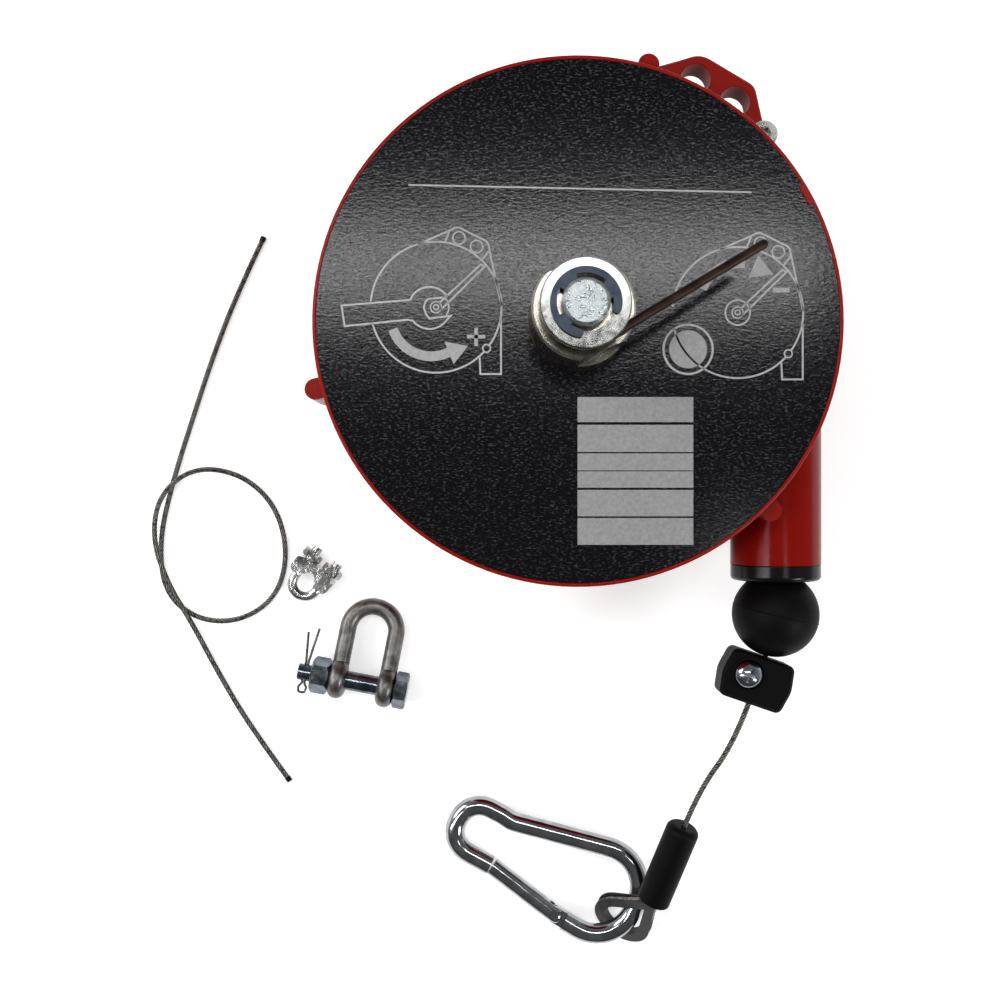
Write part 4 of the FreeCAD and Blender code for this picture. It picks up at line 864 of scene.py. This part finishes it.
class BALANCER_OT_casing(bpy.types.Operator):
    """Casing, cover and their fasteners"""
    bl_idname = "balancer.casing"
    bl_label = "Casing"

    def execute(self, context):
        dress(cast_red(colours().enamel), "housing")
        dress(red_paint(colours().enamel), "front_cover")
        zinc = bright_zinc("zinc_fasteners", (0.26, 0.26, 0.24), (0.46, 0.46, 0.43))
        dress(zinc, "cover_screws", "side_screw", "clamp_nut")
        dress(black_moulding("gloss_black_guide", 0.004, 0.24, 700.0, 0.00004, 0.2), "nose_bush")
        # Painted shade: the bronze is darkened to near black, as the hub bush shows only as a thin ring in the
        # shaded gap round the hub
        dress(bright_zinc("bronze_bushes_painted_shade", (0.050, 0.034, 0.020), (0.09, 0.062, 0.038), 0.3),
              "hub_bush", "drum_bush", "lid_bush")
        return {"FINISHED"}


class BALANCER_OT_hub(bpy.types.Operator):
    """Tension hub, lever, washer, ring and shaft end"""
    bl_idname = "balancer.hub"
    bl_label = "Hub"

    def execute(self, context):
        dress(bright_zinc("yellowish_zinc", (0.24, 0.23, 0.19), (0.42, 0.40, 0.34), rough=0.18,
                          patch=240.0, dents=0.00004), "tension_hub")
        dress(turned_face("zinc_washer", (0.19, 0.195, 0.19), (0.26, 0.26, 0.25), rings=9000.0),
              "thrust_washer")
        dress(dark_steel("ground_pin", (0.16, 0.16, 0.17), (0.30, 0.30, 0.31)), "axle_pin")
        dress(dark_steel("blued_ring", (0.014, 0.020, 0.030), (0.045, 0.055, 0.075)),
              "retaining_ring", "lid_ring")
        dress(turned_face("shaft_end", (0.24, 0.27, 0.27), (0.42, 0.45, 0.45), hammered=True), "axle")
        dress(dark_steel("browned_spring_wire", (0.012, 0.007, 0.005), (0.034, 0.020, 0.014), 0.30),
              "release_lever")
        dress(dark_steel("blued_spring_strip", (0.03, 0.03, 0.04), (0.10, 0.09, 0.10)), "power_spring")
        dress(turned_face("drum_casting", (0.52, 0.53, 0.54), (0.66, 0.67, 0.68), rings=1500.0), "drum")
        dress(turned_face("drum_lid_steel", (0.40, 0.41, 0.42), (0.60, 0.61, 0.62), rings=2200.0), "drum_lid")
        return {"FINISHED"}


class BALANCER_OT_load_end(bpy.types.Operator):
    """Ball, clamp block, sleeve, thimble and snap hook"""
    bl_idname = "balancer.load_end"
    bl_label = "Load End"

    def execute(self, context):
        rubber = black_moulding("black_rubber", 0.0025, 0.55, 1300.0, 0.00010, 0.08)
        dress(rubber, "stop_ball", "end_sleeve")
        turns = [2 * math.pi * k / SEAM_SIDES for k in range(SEAM_SIDES)]
        seam = [(SEAM_RADIUS * math.sin(t), BALL_RADIUS - SEAM_SINK + SEAM_RADIUS * math.cos(t)) for t in turns]
        lean = math.radians(BALL_TILT)
        ridge = revolved("ball_seam", BALL_CENTRE, (math.sin(lean), math.cos(lean), 0), seam, rubber, True, 120)
        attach(ridge, "load_end")
        dress(black_moulding("black_clamp_moulding", 0.0028, 0.52, 1700.0, 0.00008, 0.06),
              "clamp_front", "clamp_back")
        dress(bright_zinc("zinc_screw", (0.20, 0.23, 0.25), (0.40, 0.44, 0.48), 0.10), "clamp_screw")
        dress(dark_steel("grey_thimble_steel", (0.055, 0.056, 0.056), (0.095, 0.096, 0.095), 0.48), "thimble")
        dress(bright_zinc("pressed_ferrule", (0.45, 0.46, 0.47), (0.62, 0.63, 0.64), 0.3), "ferrule")
        dress(bright_zinc("bright_hook", (0.30, 0.31, 0.32), (0.44, 0.45, 0.47), rough=0.07, scratch=1600.0,
                          patch=200.0, dents=0.00005), "snap_hook", "hook_gate", "gate_pin")
        return {"FINISHED"}


class BALANCER_OT_loose_set(bpy.types.Operator):
    """Shackle and cable clip that lie beside the balancer"""
    bl_idname = "balancer.loose_set"
    bl_label = "Loose Set"

    def execute(self, context):
        dress(galvanised((0.075, 0.070, 0.066), (0.23, 0.224, 0.215)), "shackle_bow")
        dress(bright_zinc("bluish_zinc", (0.07, 0.082, 0.10), (0.20, 0.225, 0.26), rough=0.12, patch=220.0,
                          dents=0.00012), "shackle_bolt", "shackle_nut")
        dress(dark_steel("dull_pin_wire", (0.04, 0.038, 0.036), (0.12, 0.115, 0.11)), "split_pin")
        clip = bright_zinc("clip_zinc", (0.30, 0.30, 0.30), (0.66, 0.66, 0.65), rough=0.16, patch=170.0,
                           dents=0.00050)
        dress(clip, "clip_u_bolt", "clip_saddle", "clip_nuts")
        for number, foot in enumerate(CLIP_LEG_FEET):
            start = Vector(foot) + Vector(CLIP_LEG_LINE) * CLIP_NUT_TOP
            thread = threaded("clip_thread_%d" % number, start, CLIP_LEG_LINE, CLIP_LEG_RADIUS, CLIP_PITCH,
                              CLIP_TURNS, clip)
            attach(thread, "housing")
        return {"FINISHED"}


class BALANCER_PT_panel(bpy.types.Panel):
    bl_label = "Tool Balancer"
    bl_idname = "BALANCER_PT_panel"
    bl_space_type = "VIEW_3D"
    bl_region_type = "UI"
    bl_category = "Balancer"

    def draw(self, context):
        layout = self.layout
        for group in (context.scene.balancer_sizes, context.scene.balancer_colours):
            for name in group.__annotations__:
                layout.prop(group, name)
        for operator in OPERATORS:
            layout.operator(operator.bl_idname)


OPERATORS = (
    BALANCER_OT_stage,
    BALANCER_OT_cables,
    BALANCER_OT_plate,
    BALANCER_OT_casing,
    BALANCER_OT_hub,
    BALANCER_OT_load_end,
    BALANCER_OT_loose_set,
)
CLASSES = (BalancerSizes, BalancerColours) + OPERATORS + (BALANCER_PT_panel,)


def register():
    for item in CLASSES:
        bpy.utils.register_class(item)
    bpy.types.Scene.balancer_sizes = bpy.props.PointerProperty(type=BalancerSizes)
    bpy.types.Scene.balancer_colours = bpy.props.PointerProperty(type=BalancerColours)


def unregister():
    del bpy.types.Scene.balancer_colours
    del bpy.types.Scene.balancer_sizes
    for item in reversed(CLASSES):
        bpy.utils.unregister_class(item)


def main():
    register()
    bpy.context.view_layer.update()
    bpy.ops.balancer.stage()
    bpy.ops.balancer.cables()
    bpy.ops.balancer.plate()
    bpy.ops.balancer.casing()
    bpy.ops.balancer.hub()
    bpy.ops.balancer.load_end()
    bpy.ops.balancer.loose_set()


if __name__ == "__main__":
    main()
